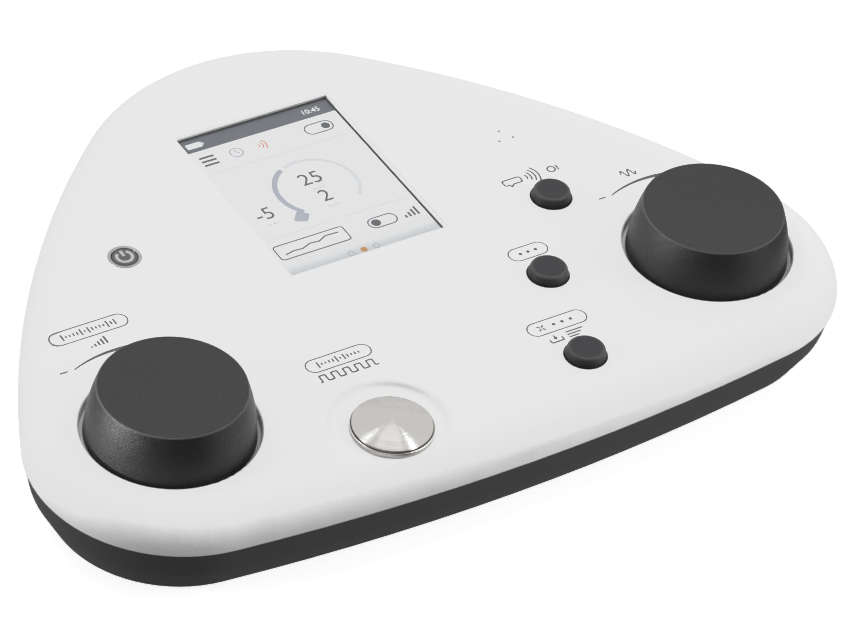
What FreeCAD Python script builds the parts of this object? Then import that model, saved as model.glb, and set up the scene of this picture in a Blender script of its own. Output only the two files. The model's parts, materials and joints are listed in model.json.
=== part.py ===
import FreeCAD, Part
import math
import os
import re

import Sketcher

# A desk audiometer: a flat rounded-triangle case with a colour display, two large turning
# knobs, a steel stimulus button, three small push buttons and an on/off button.
# Millimetres. +X right, +Y away from the user, +Z up. The origin is on the table, under the
# middle of the outline's bounding box.

# ---------------------------------------------------------------- driving dimensions
SIZES = {
    # how far a cutting shape runs past what it cuts, and a joined one into what it joins
    "past": 1.0,
    # case outline seen from above: six tangent arcs, symmetric about the Y axis
    "apex_centre_y": 25.7,
    "apex_radius": 66.2,
    "corner_centre_x": 81.8,
    "corner_centre_y": -46.4,
    "corner_radius": 40.5,
    "side_radius": 295.0,
    "front_radius": 704.0,
    # case heights and walls
    "feet_height": 0.8,
    "body_height": 27.4,
    "cover_height": 9.8,
    "cover_edge_radius": 11.3,
    "wall": 2.5,
    "seam_step": 0.3,
    "base_inset": 6.8,
    "base_edge": 0.5,
    "belly_inset": 1.9,
    "belly_rise": 9.4,
    # rear niche that takes the plugs
    "niche_depth": 17.0,
    "shelf_wall": 1.5,
    # knob wells, knobs and encoders
    "knob_x": 84.6,
    "knob_y": -47.1,
    "well_radius": 23.7,
    "well_depth": 3.3,
    "well_rim_radius": 0.8,
    "well_floor_wall": 1.8,
    "well_cup_wall": 2.0,
    "knob_base_radius": 22.7,
    "knob_side_radius": 21.75,
    "knob_top_radius": 19.7,
    "knob_rise": 13.3,
    "knob_side_rise": 7.0,
    "knob_side_curve": 42.0,
    "knob_floor_gap": 0.6,
    "knob_wall": 2.0,
    "knob_top_wall": 2.4,
    "knob_rim_width": 0.6,
    "knob_dish_depth": 0.5,
    "knob_edge_radius": 0.35,
    "knob_socket_wall": 2.0,
    "knob_socket_depth": 7.0,
    "hub_radius": 6.5,
    "encoder_width": 14.0,
    "encoder_height": 6.5,
    "encoder_floor": 1.0,
    "bush_radius": 4.5,
    "bush_stand": 3.4,
    "shaft_radius": 3.0,
    "shaft_stand": 8.5,
    "shaft_flat": 1.5,
    "shaft_shoulder": 1.0,
    "nut_circumradius": 6.35,
    "nut_height": 1.8,
    "washer_radius": 6.6,
    "washer_thickness": 0.4,
    # window and display
    "window_x": -2.0,
    "window_y": 23.75,
    "window_width": 49.0,
    "window_length": 65.6,
    "window_lip": 0.8,
    "pocket_gap": 0.2,
    "lens_border": 2.0,
    "lens_thickness": 0.6,
    "gasket_border": 0.4,
    "gasket_thickness": 0.8,
    "module_thickness": 3.0,
    "module_border": 1.5,
    "bracket_thickness": 0.8,
    "bracket_ear": 6.5,
    "bracket_screw_inset": 4.0,
    "bracket_boss_radius": 2.5,
    "ribbon_width": 12.0,
    "ribbon_thickness": 0.3,
    "ribbon_reach": 5.0,
    "ribbon_drop": 1.8,
    "ribbon_rise": 1.6,
    "ribbon_run": 2.5,
    "ribbon_connector_width": 16.0,
    "ribbon_connector_length": 5.0,
    "ribbon_connector_height": 2.4,
    # stimulus button
    "stimulus_x": -33.05,
    "stimulus_y": -72.7,
    "dish_shift": 1.4,
    "dish_floor_radius": 14.6,
    "dish_radius": 17.0,
    "dish_soft_radius": 5.0,
    "dish_depth": 0.9,
    "ring_radius": 11.35,
    "ring_lip": 1.4,
    "ring_tube_wall": 0.25,
    "ring_lip_overhang": 0.15,
    "dome_gap": 0.15,
    "dome_rise": 2.6,
    "dome_sagitta": 1.6,
    "dome_sheet": 0.8,
    "dome_skirt": 3.7,
    "stimulus_travel": 1.0,
    "stimulus_housing": 3.0,
    "stimulus_switch_height": 4.8,
    "stimulus_flange_gap": 0.3,
    "stimulus_flange": 1.5,
    "stimulus_collar": 2.0,
    "spring_wire_radius": 0.4,
    "spring_radius": 9.8,
    "spring_turns": 2.5,
    # three small push buttons
    "talk_x": 56.5,
    "talk_y": -10.4,
    "function_x": 37.5,
    "function_y": -38.35,
    "store_x": 28.45,
    "store_y": -71.0,
    "cap_hole_radius": 6.05,
    "cap_radius": 5.7,
    "cap_top_radius": 5.1,
    "cap_rise": 2.7,
    "cap_shoulder": 0.3,
    "cap_edge_radius": 0.8,
    "cap_flange": 1.2,
    "cap_stem_radius": 2.6,
    "cap_travel": 1.0,
    # shared by every push button
    "flange_gap": 0.3,
    "flange_thickness": 1.0,
    "switch_width": 12.0,
    "switch_housing": 3.8,
    "switch_height": 5.5,
    "switch_floor": 0.5,
    "plunger_radius": 2.2,
    "plunger_gap": 0.08,
    "plunger_margin": 0.2,
    # on/off button
    "power_x": -63.5,
    "power_y": 17.5,
    "power_ring_radius": 4.75,
    "power_ring_width": 1.0,
    "power_ring_stand": 0.15,
    "power_ring_slope": 0.1,
    "power_gap": 0.2,
    "power_drop": 0.05,
    "power_switch_width": 6.0,
    "power_plunger_radius": 1.6,
    "power_travel": 0.5,
    # microphone
    "microphone_x": 58.9,
    "microphone_y": 18.3,
    "microphone_hole_circle": 2.65,
    "microphone_hole_radius": 0.5,
    "microphone_radius": 3.0,
    "microphone_height": 2.0,
    "boot_wall": 1.5,
    "boot_roof": 0.5,
    # main board
    "board_thickness": 1.6,
    "board_front_y": -81.0,
    "board_front_x": 84.0,
    "board_corner_y": -68.0,
    "board_side_x": 98.0,
    "board_side_y": -38.0,
    "board_wing_x": 74.0,
    "board_wing_y": 22.0,
    "board_neck_x": 36.0,
    "board_neck_y": 42.0,
    "board_rear_y": 72.0,
    "board_boss_radius": 3.0,
    "board_boss_front_x": 56.0,
    "board_boss_front_y": -76.0,
    "board_boss_side_x": 68.0,
    "board_boss_side_y": -10.0,
    "board_boss_rear_x": 56.0,
    "board_boss_rear_y": 28.0,
    "board_screw_length": 8.0,
    "small_screw_radius": 1.25,
    "small_head_radius": 2.3,
    "small_head_height": 1.5,
    "small_screw_hole": 1.3,
    "slot_width_share": 0.28,
    "slot_length_share": 1.2,
    "flush_gap": 0.1,
    "processor_width": 14.0,
    "processor_gap": 9.8,
    "chip_width": 9.0,
    "chip_height": 1.0,
    "can_x": -4.0,
    "can_y": -56.0,
    "can_width": 34.0,
    "can_length": 24.0,
    "can_height": 3.2,
    "can_sheet": 0.3,
    # case screws, inserts and feet
    "corner_screw_x": 104.0,
    "corner_screw_y": -60.0,
    "side_screw_x": 88.0,
    "side_screw_y": 2.0,
    "rear_screw_x": 42.5,
    "rear_screw_y": 58.0,
    "boss_radius": 4.0,
    "insert_radius": 2.3,
    "insert_length": 5.0,
    "insert_room": 0.5,
    "case_screw_radius": 1.45,
    "case_screw_hole": 1.7,
    "case_head_radius": 2.75,
    "case_head_height": 2.0,
    "counterbore_radius": 3.2,
    "counterbore_depth": 6.0,
    "front_foot_x": 78.0,
    "front_foot_y": -60.0,
    "rear_foot_x": 26.0,
    "rear_foot_y": 62.0,
    "foot_radius": 6.0,
    "foot_recess": 0.8,
    # sockets on the rear panel
    "socket_pitch": 14.0,
    "socket_width": 12.5,
    "socket_height": 11.5,
    "socket_length": 24.0,
    "socket_nose_radius": 4.7,
    "socket_nose_stand": 0.8,
    "socket_bore_radius": 3.2,
    "socket_bore_depth": 26.0,
    "nose_gap": 0.05,
    "usb_width": 12.0,
    "usb_height": 10.8,
    "usb_length": 16.0,
    "usb_wall": 0.6,
    "usb_stand": 0.4,
    "usb_tongue_width": 5.6,
    "usb_tongue_height": 3.2,
    "usb_depth": 9.0,
    # battery bay, door and pack
    "pack_y": 4.0,
    "pack_width": 62.0,
    "pack_length": 48.0,
    "pack_height": 10.6,
    "bay_gap": 0.5,
    "bay_wall": 1.5,
    "door_thickness": 2.0,
    "door_ledge": 1.8,
    "door_tail": 12.0,
    "door_gap": 0.3,
    "door_grip_inset": 4.0,
    "door_grip_width": 1.5,
    "door_screw_inset": 6.0,
    "door_screw_length": 9.0,
    "lead_radius": 0.7,
    "lead_spacing": 1.8,
    "lead_drop": 2.0,
    "lead_run": 7.0,
    "lead_offset": 6.0,
    "lead_bend": 3.0,
    "notch_width": 6.0,
    "battery_connector_width": 5.0,
    "battery_connector_height": 5.6,
}

# ---------------------------------------------------------------- levels worked out from them
DERIVED = {
    "top_z": "feet_height + body_height",
    "seam_z": "top_z - cover_height",
    "floor_z": "feet_height + wall",
    "ceiling_z": "top_z - wall",
    "belly_z": "feet_height + belly_rise",
    "niche_top_z": "seam_z - shelf_wall",
    "well_floor_z": "top_z - well_depth",
    "well_under_z": "well_floor_z - well_floor_wall",
    "board_top_z": "well_under_z - encoder_height",
    "board_under_z": "board_top_z - board_thickness",
    "plunger_top_z": "board_top_z + switch_height",
    "flange_top_z": "ceiling_z - flange_gap",
    "flange_bottom_z": "flange_top_z - flange_thickness",
    "knob_base_z": "well_floor_z + knob_floor_gap",
    "knob_top_z": "top_z + knob_rise",
    "knob_ceiling_z": "knob_top_z - knob_top_wall",
    "bush_top_z": "well_floor_z + bush_stand",
    "lens_top_z": "top_z - window_lip",
    "lens_under_z": "lens_top_z - lens_thickness",
    "module_top_z": "lens_under_z - gasket_thickness",
    "module_under_z": "module_top_z - module_thickness",
    "bracket_under_z": "module_under_z - bracket_thickness",
    "lens_width": "window_width + 2 * lens_border",
    "lens_length": "window_length + 2 * lens_border",
    "module_width": "window_width + 2 * module_border",
    "module_length": "window_length + 2 * module_border",
    "glass_width": "window_width + 2 * gasket_border",
    "glass_length": "window_length + 2 * gasket_border",
    "bracket_width": "module_width + 2 * bracket_ear",
    "bracket_screw_x": "bracket_width / 2 - bracket_screw_inset",
    "bracket_screw_y": "module_length / 2 - bracket_screw_inset",
    "stimulus_plunger_z": "board_top_z + stimulus_switch_height",
    "stimulus_flange_z": "stimulus_plunger_z + flange_thickness",
    "stimulus_pocket_z": "stimulus_flange_z + stimulus_flange_gap",
    "stimulus_flange_radius": "ring_radius + stimulus_flange",
    "dome_radius": "ring_radius - ring_lip_overhang - ring_tube_wall - dome_gap",
    "dome_top_z": "top_z + dome_rise",
    "dome_sphere": "(dome_radius * dome_radius + dome_sagitta * dome_sagitta) / (2 * dome_sagitta)",
    "dome_skirt_z": "dome_top_z - dome_sagitta - dome_skirt",
    "power_button_radius": "power_ring_radius - power_ring_width - power_gap",
    "socket_z": "board_under_z - socket_height / 2",
    "panel_y": "apex_centre_y + apex_radius - niche_depth",
    "socket_back_y": "panel_y - wall - socket_length",
    "socket_tip_y": "panel_y + socket_nose_stand",
    "usb_z": "board_under_z - usb_height / 2",
    "pack_under_z": "feet_height + door_thickness",
    "pack_top_z": "pack_under_z + pack_height",
    "bay_width": "pack_width + 2 * bay_gap",
    "bay_length": "pack_length + 2 * bay_gap",
    "door_opening_width": "bay_width + 2 * door_ledge",
    "door_opening_length": "bay_length + 2 * door_ledge + door_tail",
    "door_centre_y": "pack_y - door_tail / 2",
    "door_screw_y": "door_centre_y - door_opening_length / 2 + door_screw_inset",
    "screw_seat_z": "feet_height + counterbore_depth",
    "processor_y": "can_y + can_length / 2 + processor_gap + processor_width / 2",
    "reach": "2 * (corner_centre_x + corner_radius + wall)",
}

doc = FreeCAD.newDocument("audiometer")
sheet = doc.addObject("Spreadsheet::Sheet", "Sizes")
for row, (alias, number) in enumerate(SIZES.items(), start=1):
    sheet.set("A%d" % row, alias)
    sheet.set("B%d" % row, str(number))
    sheet.setAlias("B%d" % row, alias)
doc.recompute()

SUBPARTS = {}


# ---------------------------------------------------------------- expressions
def expression(text):
    """Write plain size names as a sheet expression; derived names are spelled out."""

    def swap(match):
        word = match.group(0)
        if word in DERIVED:
            return "(" + expression(DERIVED[word]) + ")"
        return "Sizes." + word if word in SIZES else word

    return re.sub(r"[a-z][a-z_]*", swap, str(text))


def value(text):
    """The number that an expression of size names has now."""
    return float(sheet.evalExpression(expression(text)))


def bind(item, **texts):
    """Bind properties of an object; 'Placement_Base_x' stands for Placement.Base.x."""
    for name, text in texts.items():
        item.setExpression(name.replace("_", "."), expression(text))


def place(item, x="0", y="0", z="0"):
    bind(item, Placement_Base_x=x, Placement_Base_y=y, Placement_Base_z=z)
    return item


def subpart(name, item):
    """Register a finished piece under the name that its file gets."""
    item.Label = name
    SUBPARTS[name] = item
    return item


# ---------------------------------------------------------------- plain solids
def block(name, x, y, bottom, size_x, size_y, size_z):
    """A box centred on (x, y) that stands on the level 'bottom'."""
    box = doc.addObject("Part::Box", name)
    bind(box, Length=size_x, Width=size_y, Height=size_z)
    return place(box, f"({x}) - ({size_x}) / 2", f"({y}) - ({size_y}) / 2", bottom)


def rod(name, x, y, bottom, radius, height):
    """An upright cylinder."""
    cylinder = doc.addObject("Part::Cylinder", name)
    bind(cylinder, Radius=radius, Height=height)
    return place(cylinder, x, y, bottom)


def rod_along_y(name, x, z, start_y, radius, length):
    """A cylinder that runs along +Y from start_y."""
    cylinder = rod(name, x, start_y, z, radius, length)
    cylinder.Placement.Rotation = FreeCAD.Rotation(FreeCAD.Vector(1, 0, 0), -90)
    return cylinder


def hexagon(name, x, y, bottom, circumradius, height):
    prism = doc.addObject("Part::Prism", name)
    prism.Polygon = 6
    bind(prism, Circumradius=circumradius, Height=height)
    return place(prism, x, y, bottom)


def sphere(name, x, y, centre_z, radius):
    ball = doc.addObject("Part::Sphere", name)
    bind(ball, Radius=radius)
    return place(ball, x, y, centre_z)


def fuse(name, items):
    if len(items) == 1:
        return items[0]
    joined = doc.addObject("Part::MultiFuse", name)
    joined.Shapes = items
    return joined


def cut(name, base, *tools):
    result = doc.addObject("Part::Cut", name)
    result.Base = base
    result.Tool = fuse(name + "_tools", list(tools))
    return result


def common(name, first, second):
    result = doc.addObject("Part::Common", name)
    result.Base = first
    result.Tool = second
    return result


def group(name, items):
    """Identical loose pieces that share one node."""
    bundle = doc.addObject("Part::Compound", name)
    bundle.Links = items
    return bundle


def tube_wall(name, x, y, bottom, outer, inner, height):
    """A straight ring."""
    return cut(
        name,
        rod(name + "_outer", x, y, bottom, outer, height),
        rod(name + "_inner", x, y, f"({bottom}) - past", inner, f"({height}) + 2 * past"),
    )


# ---------------------------------------------------------------- PartDesign pieces
def new_body(name):
    return doc.addObject("PartDesign::Body", name)


def new_sketch(body, name, role, level="0"):
    """A sketch on one of the body's own origin planes, lifted along its normal."""
    sketch = body.newObject("Sketcher::SketchObject", name)
    plane = [item for item in body.Origin.OriginFeatures if item.Role == role][0]
    sketch.AttachmentSupport = [(plane, "")]
    sketch.MapMode = "FlatFace"
    sketch.setExpression("AttachmentOffset.Base.z", expression(level))
    return sketch


def constrain(sketch, kind, *where, text):
    """A measured constraint that is bound to the sheet."""
    index = sketch.addConstraint(Sketcher.Constraint(kind, *where, value(text)))
    sketch.setExpression("Constraints[%d]" % index, expression(text))


def polygon(sketch, corners):
    """A closed polygon whose corners are pairs of expressions."""
    points = [FreeCAD.Vector(value(u), value(v), 0) for u, v in corners]
    count = len(points)
    for index in range(count):
        sketch.addGeometry(Part.LineSegment(points[index], points[(index + 1) % count]), False)
    for index in range(count):
        sketch.addConstraint(Sketcher.Constraint("Coincident", index, 2, (index + 1) % count, 1))
    for index, (u, v) in enumerate(corners):
        if u == "0":
            sketch.addConstraint(Sketcher.Constraint("PointOnObject", index, 1, -2))
        else:
            constrain(sketch, "DistanceX", -1, 1, index, 1, text=u)
        constrain(sketch, "DistanceY", -1, 1, index, 1, text=v)


def circular_edge(shape, radius, z):
    """The name of the edge that is a circle of this radius at this height."""
    for index, edge in enumerate(shape.Edges, start=1):
        curve = edge.Curve
        if isinstance(curve, Part.Circle):
            if abs(curve.Radius - radius) < 1e-4 and abs(curve.Center.z - z) < 1e-4:
                return "Edge%d" % index
    raise ValueError("no circular edge of radius %g at z %g" % (radius, z))


def turned(name, x, y, corners, rounds=()):
    """A piece turned about the vertical line through (x, y) from (radius, height) corners."""
    body = new_body(name)
    sketch = new_sketch(body, name + "_profile", "XZ_Plane")
    polygon(sketch, corners)
    turn = body.newObject("PartDesign::Revolution", name + "_turn")
    turn.Profile = sketch
    turn.ReferenceAxis = (sketch, ["V_Axis"])
    turn.Angle = 360
    doc.recompute()
    last = turn
    for number, (radius, z, rounding) in enumerate(rounds):
        fillet = body.newObject("PartDesign::Fillet", "%s_round%d" % (name, number))
        fillet.Base = (last, [circular_edge(last.Shape, value(radius), value(z))])
        bind(fillet, Radius=rounding)
        doc.recompute()
        last = fillet
    return place(body, x, y)


def plate(name, corners, bottom, thickness):
    """A flat plate padded up from a polygon."""
    body = new_body(name)
    sketch = new_sketch(body, name + "_outline", "XY_Plane", bottom)
    polygon(sketch, corners)
    pad = body.newObject("PartDesign::Pad", name + "_pad")
    pad.Profile = sketch
    bind(pad, Length=thickness)
    return body


def case_outline(sketch, inset):
    """Six tangent arcs: front, right corner, right side, apex, left side, left corner."""
    apex = (0.0, value("apex_centre_y"))
    corner = (value("corner_centre_x"), value("corner_centre_y"))
    apex_r, corner_r, side_r, front_r = (
        value(f"{word}_radius - ({inset})") for word in ("apex", "corner", "side", "front")
    )
    span = math.hypot(corner[0] - apex[0], corner[1] - apex[1])
    along = ((corner[0] - apex[0]) / span, (corner[1] - apex[1]) / span)
    from_apex = side_r - apex_r
    from_corner = side_r - corner_r
    foot = (from_apex**2 - from_corner**2 + span**2) / (2 * span)
    drop = math.sqrt(from_apex**2 - foot**2)
    side = (
        apex[0] + along[0] * foot + along[1] * drop,
        apex[1] + along[1] * foot - along[0] * drop,
    )
    front = (0.0, corner[1] + math.sqrt((front_r - corner_r) ** 2 - corner[0] ** 2))

    def heading(start, end):
        return math.atan2(end[1] - start[1], end[0] - start[0])

    low = heading(front, corner)
    middle = heading(side, corner)
    high = heading(side, apex)
    half_turn = math.pi
    arcs = (
        (front, front_r, -half_turn - low, low),
        (corner, corner_r, low, middle),
        (side, side_r, middle, high),
        (apex, apex_r, high, half_turn - high),
        ((-side[0], side[1]), side_r, half_turn - high, half_turn - middle),
        ((-corner[0], corner[1]), corner_r, half_turn - middle, half_turn - low),
    )
    up = FreeCAD.Vector(0, 0, 1)
    for centre, radius, start, end in arcs:
        circle = Part.Circle(FreeCAD.Vector(centre[0], centre[1], 0), up, radius)
        sketch.addGeometry(Part.ArcOfCircle(circle, start, end), False)
    count = len(arcs)
    for index in range(count):
        sketch.addConstraint(Sketcher.Constraint("Tangent", index, 2, (index + 1) % count, 1))
    for index, word in ((0, "front"), (1, "corner"), (2, "side"), (3, "apex")):
        constrain(sketch, "Radius", index, text=f"{word}_radius - ({inset})")
    sketch.addConstraint(Sketcher.Constraint("Equal", 2, 4))
    sketch.addConstraint(Sketcher.Constraint("Equal", 1, 5))
    sketch.addConstraint(Sketcher.Constraint("PointOnObject", 3, 3, -2))
    constrain(sketch, "DistanceY", -1, 1, 3, 3, text="apex_centre_y")
    constrain(sketch, "DistanceX", -1, 1, 1, 3, text="corner_centre_x")
    constrain(sketch, "DistanceX", 5, 3, -1, 1, text="corner_centre_x")
    for index in (1, 5):
        constrain(sketch, "DistanceY", -1, 1, index, 3, text="corner_centre_y")


def flat_face(shape, z):
    """The name of the horizontal face at this height."""
    for index, face in enumerate(shape.Faces, start=1):
        box = face.BoundBox
        if abs(box.ZMin - z) < 1e-4 and abs(box.ZMax - z) < 1e-4:
            return "Face%d" % index
    raise ValueError("no flat face at z %g" % z)


def round_face(body, last, z, radius):
    """Round every edge of the horizontal face at height z."""
    doc.recompute()
    fillet = body.newObject("PartDesign::Fillet", body.Name + "_round")
    fillet.Base = (last, [flat_face(last.Shape, value(z))])
    bind(fillet, Radius=radius)
    return body


def outline_slab(name, inset, bottom, top, radius=None):
    """The case outline padded up, with its upper edge rounded."""
    body = new_body(name)
    sketch = new_sketch(body, name + "_outline", "XY_Plane", bottom)
    case_outline(sketch, inset)
    pad = body.newObject("PartDesign::Pad", name + "_pad")
    pad.Profile = sketch
    bind(pad, Length=f"({top}) - ({bottom})")
    return round_face(body, pad, top, radius) if radius else body


def outline_loft(name, sections):
    """The case outline lofted straight through (inset, level) sections, lowest first."""
    body = new_body(name)
    outlines = []
    for number, (inset, level) in enumerate(sections):
        outline = new_sketch(body, "%s_outline%d" % (name, number), "XY_Plane", level)
        case_outline(outline, inset)
        outlines.append(outline)
    loft = body.newObject("PartDesign::AdditiveLoft", name + "_loft")
    loft.Profile = outlines[0]
    loft.Sections = outlines[1:]
    loft.Ruled = True
    return body


# ---------------------------------------------------------------- places of what repeats
def mirrored(x, y):
    """One place on each side of the Y axis."""
    return [(x, y), (f"-({x})", y)]


CASE_SCREWS = (
    mirrored("corner_screw_x", "corner_screw_y")
    + mirrored("side_screw_x", "side_screw_y")
    + mirrored("rear_screw_x", "rear_screw_y")
)
BOARD_SCREWS = (
    mirrored("board_boss_front_x", "board_boss_front_y")
    + mirrored("board_boss_side_x", "board_boss_side_y")
    + mirrored("board_boss_rear_x", "board_boss_rear_y")
)
FEET = mirrored("front_foot_x", "front_foot_y") + mirrored("rear_foot_x", "rear_foot_y")
KNOBS = {"level": "-knob_x", "frequency": "knob_x"}
SMALL_BUTTONS = {
    "talk_over": ("talk_x", "talk_y"),
    "function": ("function_x", "function_y"),
    "store": ("store_x", "store_y"),
}
BRACKET_SCREWS = [
    (f"window_x + {side} * bracket_screw_x", f"window_y + {end} * bracket_screw_y")
    for side in (-1, 1)
    for end in (-1, 1)
]
SOCKETS = {
    "left_phone_socket": -2,
    "right_phone_socket": -1,
    "bone_socket": 0,
    "response_socket": 1,
}
USB_PLACE = 2


# ---------------------------------------------------------------- case
def make_top_cover():
    outer = outline_slab(
        "cover_outer", "0", "seam_z - cover_edge_radius / 2", "top_z", "cover_edge_radius"
    )
    cavity = outline_slab(
        "cover_cavity",
        "wall",
        "seam_z - cover_edge_radius / 2 - past",
        "ceiling_z",
        "cover_edge_radius - wall",
    )
    below = block("cover_trim", "0", "0", "seam_z - reach", "reach", "reach", "reach")
    shell = cut("cover_shell", outer, cavity, below)

    lift = "ceiling_z + wall / 2"
    inside = [
        rod("stimulus_collar", "stimulus_x", "stimulus_y", "stimulus_pocket_z",
            "stimulus_flange_radius + stimulus_collar", f"{lift} - stimulus_pocket_z"),
    ]
    for side, x in KNOBS.items():
        inside.append(
            rod(side + "_cup", x, "knob_y", "well_under_z", "well_radius + well_cup_wall",
                f"{lift} - well_under_z")
        )
    for index, (x, y) in enumerate(CASE_SCREWS):
        inside.append(
            rod("cover_boss%d" % index, x, y, "seam_z", "boss_radius", f"{lift} - seam_z")
        )
    for index, (x, y) in enumerate(BOARD_SCREWS):
        inside.append(
            rod("board_boss%d" % index, x, y, "board_top_z", "board_boss_radius",
                f"{lift} - board_top_z")
        )
    for index, (x, y) in enumerate(BRACKET_SCREWS):
        inside.append(
            rod("bracket_boss%d" % index, x, y, "module_under_z", "bracket_boss_radius",
                f"{lift} - module_under_z")
        )
    trimmed = common("cover_inside", outer, fuse("cover_inside_parts", inside))
    solid = fuse("cover_solid", [shell, trimmed])

    tools = [
        block("window_cut", "window_x", "window_y", "ceiling_z - past", "window_width",
              "window_length", "wall + 2 * past"),
        block("lens_cut", "window_x", "window_y", "module_under_z - past",
              "lens_width + 2 * pocket_gap", "lens_length + 2 * pocket_gap",
              "lens_top_z - module_under_z + past"),
        turned("stimulus_cut", "stimulus_x", "stimulus_y", (
            ("0", "board_top_z"),
            ("stimulus_flange_radius + 2 * stimulus_flange_gap", "board_top_z"),
            ("stimulus_flange_radius + 2 * stimulus_flange_gap", "stimulus_pocket_z"),
            ("ring_radius - ring_lip_overhang", "stimulus_pocket_z"),
            ("ring_radius - ring_lip_overhang", "top_z + past"),
            ("0", "top_z + past"),
        )),
        turned("stimulus_dish", "stimulus_x", "stimulus_y + dish_shift", (
            ("0", "top_z - dish_depth"),
            ("dish_floor_radius", "top_z - dish_depth"),
            ("dish_radius", "top_z"),
            ("dish_radius + dish_soft_radius", "top_z"),
            ("dish_radius + dish_soft_radius", "top_z + past"),
            ("0", "top_z + past"),
        ), rounds=(("dish_floor_radius", "top_z - dish_depth", "dish_soft_radius"),
                   ("dish_radius", "top_z", "dish_soft_radius"))),
        rod("power_cut", "power_x", "power_y", "ceiling_z - past", "power_ring_radius", "wall + 2 * past"),
    ]
    for side, x in KNOBS.items():
        tools.append(turned(side + "_well_cut", x, "knob_y", (
            ("0", "well_floor_z"),
            ("well_radius", "well_floor_z"),
            ("well_radius", "top_z"),
            ("well_radius + 2 * well_rim_radius", "top_z"),
            ("well_radius + 2 * well_rim_radius", "top_z + past"),
            ("0", "top_z + past"),
        ), rounds=(("well_radius", "top_z", "well_rim_radius"),)))
        tools.append(
            rod(side + "_bush_cut", x, "knob_y", "well_under_z - past", "bush_radius + nose_gap",
                "well_floor_wall + 2 * past")
        )
    for name, (x, y) in SMALL_BUTTONS.items():
        tools.append(rod(name + "_cut", x, y, "ceiling_z - past", "cap_hole_radius", "wall + 2 * past"))
    for index in range(3):
        angle = 90 + 120 * index
        tools.append(
            rod("microphone_cut%d" % index,
                f"microphone_x + microphone_hole_circle * cos({angle} deg)",
                f"microphone_y + microphone_hole_circle * sin({angle} deg)",
                "ceiling_z - past", "microphone_hole_radius", "wall + 2 * past")
        )
    for index, (x, y) in enumerate(CASE_SCREWS):
        tools.append(
            rod("insert_cut%d" % index, x, y, "seam_z - past", "insert_radius",
                "insert_length + insert_room + past")
        )
    for index, (x, y) in enumerate(BOARD_SCREWS):
        tools.append(
            rod("board_pilot%d" % index, x, y, "board_top_z - past", "small_screw_hole",
                "board_screw_length")
        )
    for index, (x, y) in enumerate(BRACKET_SCREWS):
        tools.append(
            rod("bracket_pilot%d" % index, x, y, "module_under_z - past", "small_screw_hole",
                "ceiling_z - module_under_z + 2 * past")
        )
    subpart("top_cover", cut("top_cover", solid, *tools))


def make_bottom_cover():
    low_slope = "(base_inset - belly_inset) / belly_rise"
    high_slope = "(belly_inset - seam_step) / (seam_z - belly_z)"
    outer = outline_loft("base_outer", (
        ("base_inset + base_edge", "feet_height"),
        (f"base_inset - base_edge * {low_slope}", "feet_height + base_edge"),
        ("belly_inset", "belly_z"),
        ("seam_step", "seam_z"),
    ))
    cavity = outline_loft("base_cavity", (
        (f"base_inset + wall - wall * {low_slope}", "floor_z"),
        ("belly_inset + wall", "belly_z"),
        (f"seam_step + wall - past * {high_slope}", "seam_z + past"),
    ))
    rear = block("base_rear", "0", "panel_y - wall + reach / 2", "0", "reach", "reach", "reach")
    shell = cut("base_shell", outer, cut("base_room", cavity, rear))

    inside = [
        rod("base_boss%d" % index, x, y, "feet_height + base_edge", "boss_radius",
            "seam_z - feet_height - base_edge")
        for index, (x, y) in enumerate(CASE_SCREWS)
    ]
    inside.append(
        rod("door_boss", "0", "door_screw_y", "floor_z - past", "boss_radius",
            "door_screw_length + past")
    )
    wall_frame = cut(
        "bay_walls",
        block("bay_outer", "0", "pack_y", "floor_z - past", "bay_width + 2 * bay_wall",
              "bay_length + 2 * bay_wall", "pack_top_z - floor_z + past"),
        block("bay_inner", "0", "pack_y", "floor_z - past", "bay_width", "bay_length",
              "pack_height + 2 * past"),
        block("bay_notch", "bay_width / 2 + bay_wall / 2", "pack_y",
              "pack_top_z - lead_drop - lead_spacing - 2 * lead_radius",
              "bay_wall + past", "notch_width", "pack_height"),
    )
    inside.append(wall_frame)
    trimmed = common("base_inside", outer, fuse("base_inside_parts", inside))
    solid = fuse("base_solid", [shell, trimmed])

    tools = [
        block("niche_cut", "0", "panel_y + reach / 2", "0", "reach", "reach", "niche_top_z"),
        block("door_cut", "0", "door_centre_y", "0", "door_opening_width",
              "door_opening_length", "pack_under_z"),
        block("bay_cut", "0", "pack_y", "feet_height", "bay_width", "bay_length", "wall + past"),
        rod("door_pilot", "0", "door_screw_y", "floor_z - wall", "small_screw_hole",
            "door_screw_length + past"),
        block("usb_cut", f"{USB_PLACE} * socket_pitch", "panel_y - wall / 2",
              "board_under_z - usb_height - nose_gap", "usb_width + 2 * nose_gap", "wall + 2 * past",
              "usb_height + 2 * nose_gap"),
    ]
    for index, (x, y) in enumerate(CASE_SCREWS):
        tools.append(rod("screw_way%d" % index, x, y, "0", "case_screw_hole", "seam_z + past"))
        tools.append(rod("screw_sink%d" % index, x, y, "0", "counterbore_radius", "screw_seat_z"))
    for index, (x, y) in enumerate(FEET):
        tools.append(rod("foot_cut%d" % index, x, y, "0", "foot_radius",
                         "feet_height + foot_recess"))
    for name, step in SOCKETS.items():
        tools.append(
            rod_along_y(name + "_cut", f"{step} * socket_pitch", "socket_z", "panel_y - wall - past",
                        "socket_nose_radius + nose_gap", "wall + 2 * past")
        )
    subpart("bottom_cover", cut("bottom_cover", solid, *tools))


def make_feet():
    feet = [
        rod("foot%d" % index, x, y, "0", "foot_radius - nose_gap", "feet_height + foot_recess")
        for index, (x, y) in enumerate(FEET)
    ]
    subpart("rubber_feet", group("rubber_feet", feet))


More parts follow.
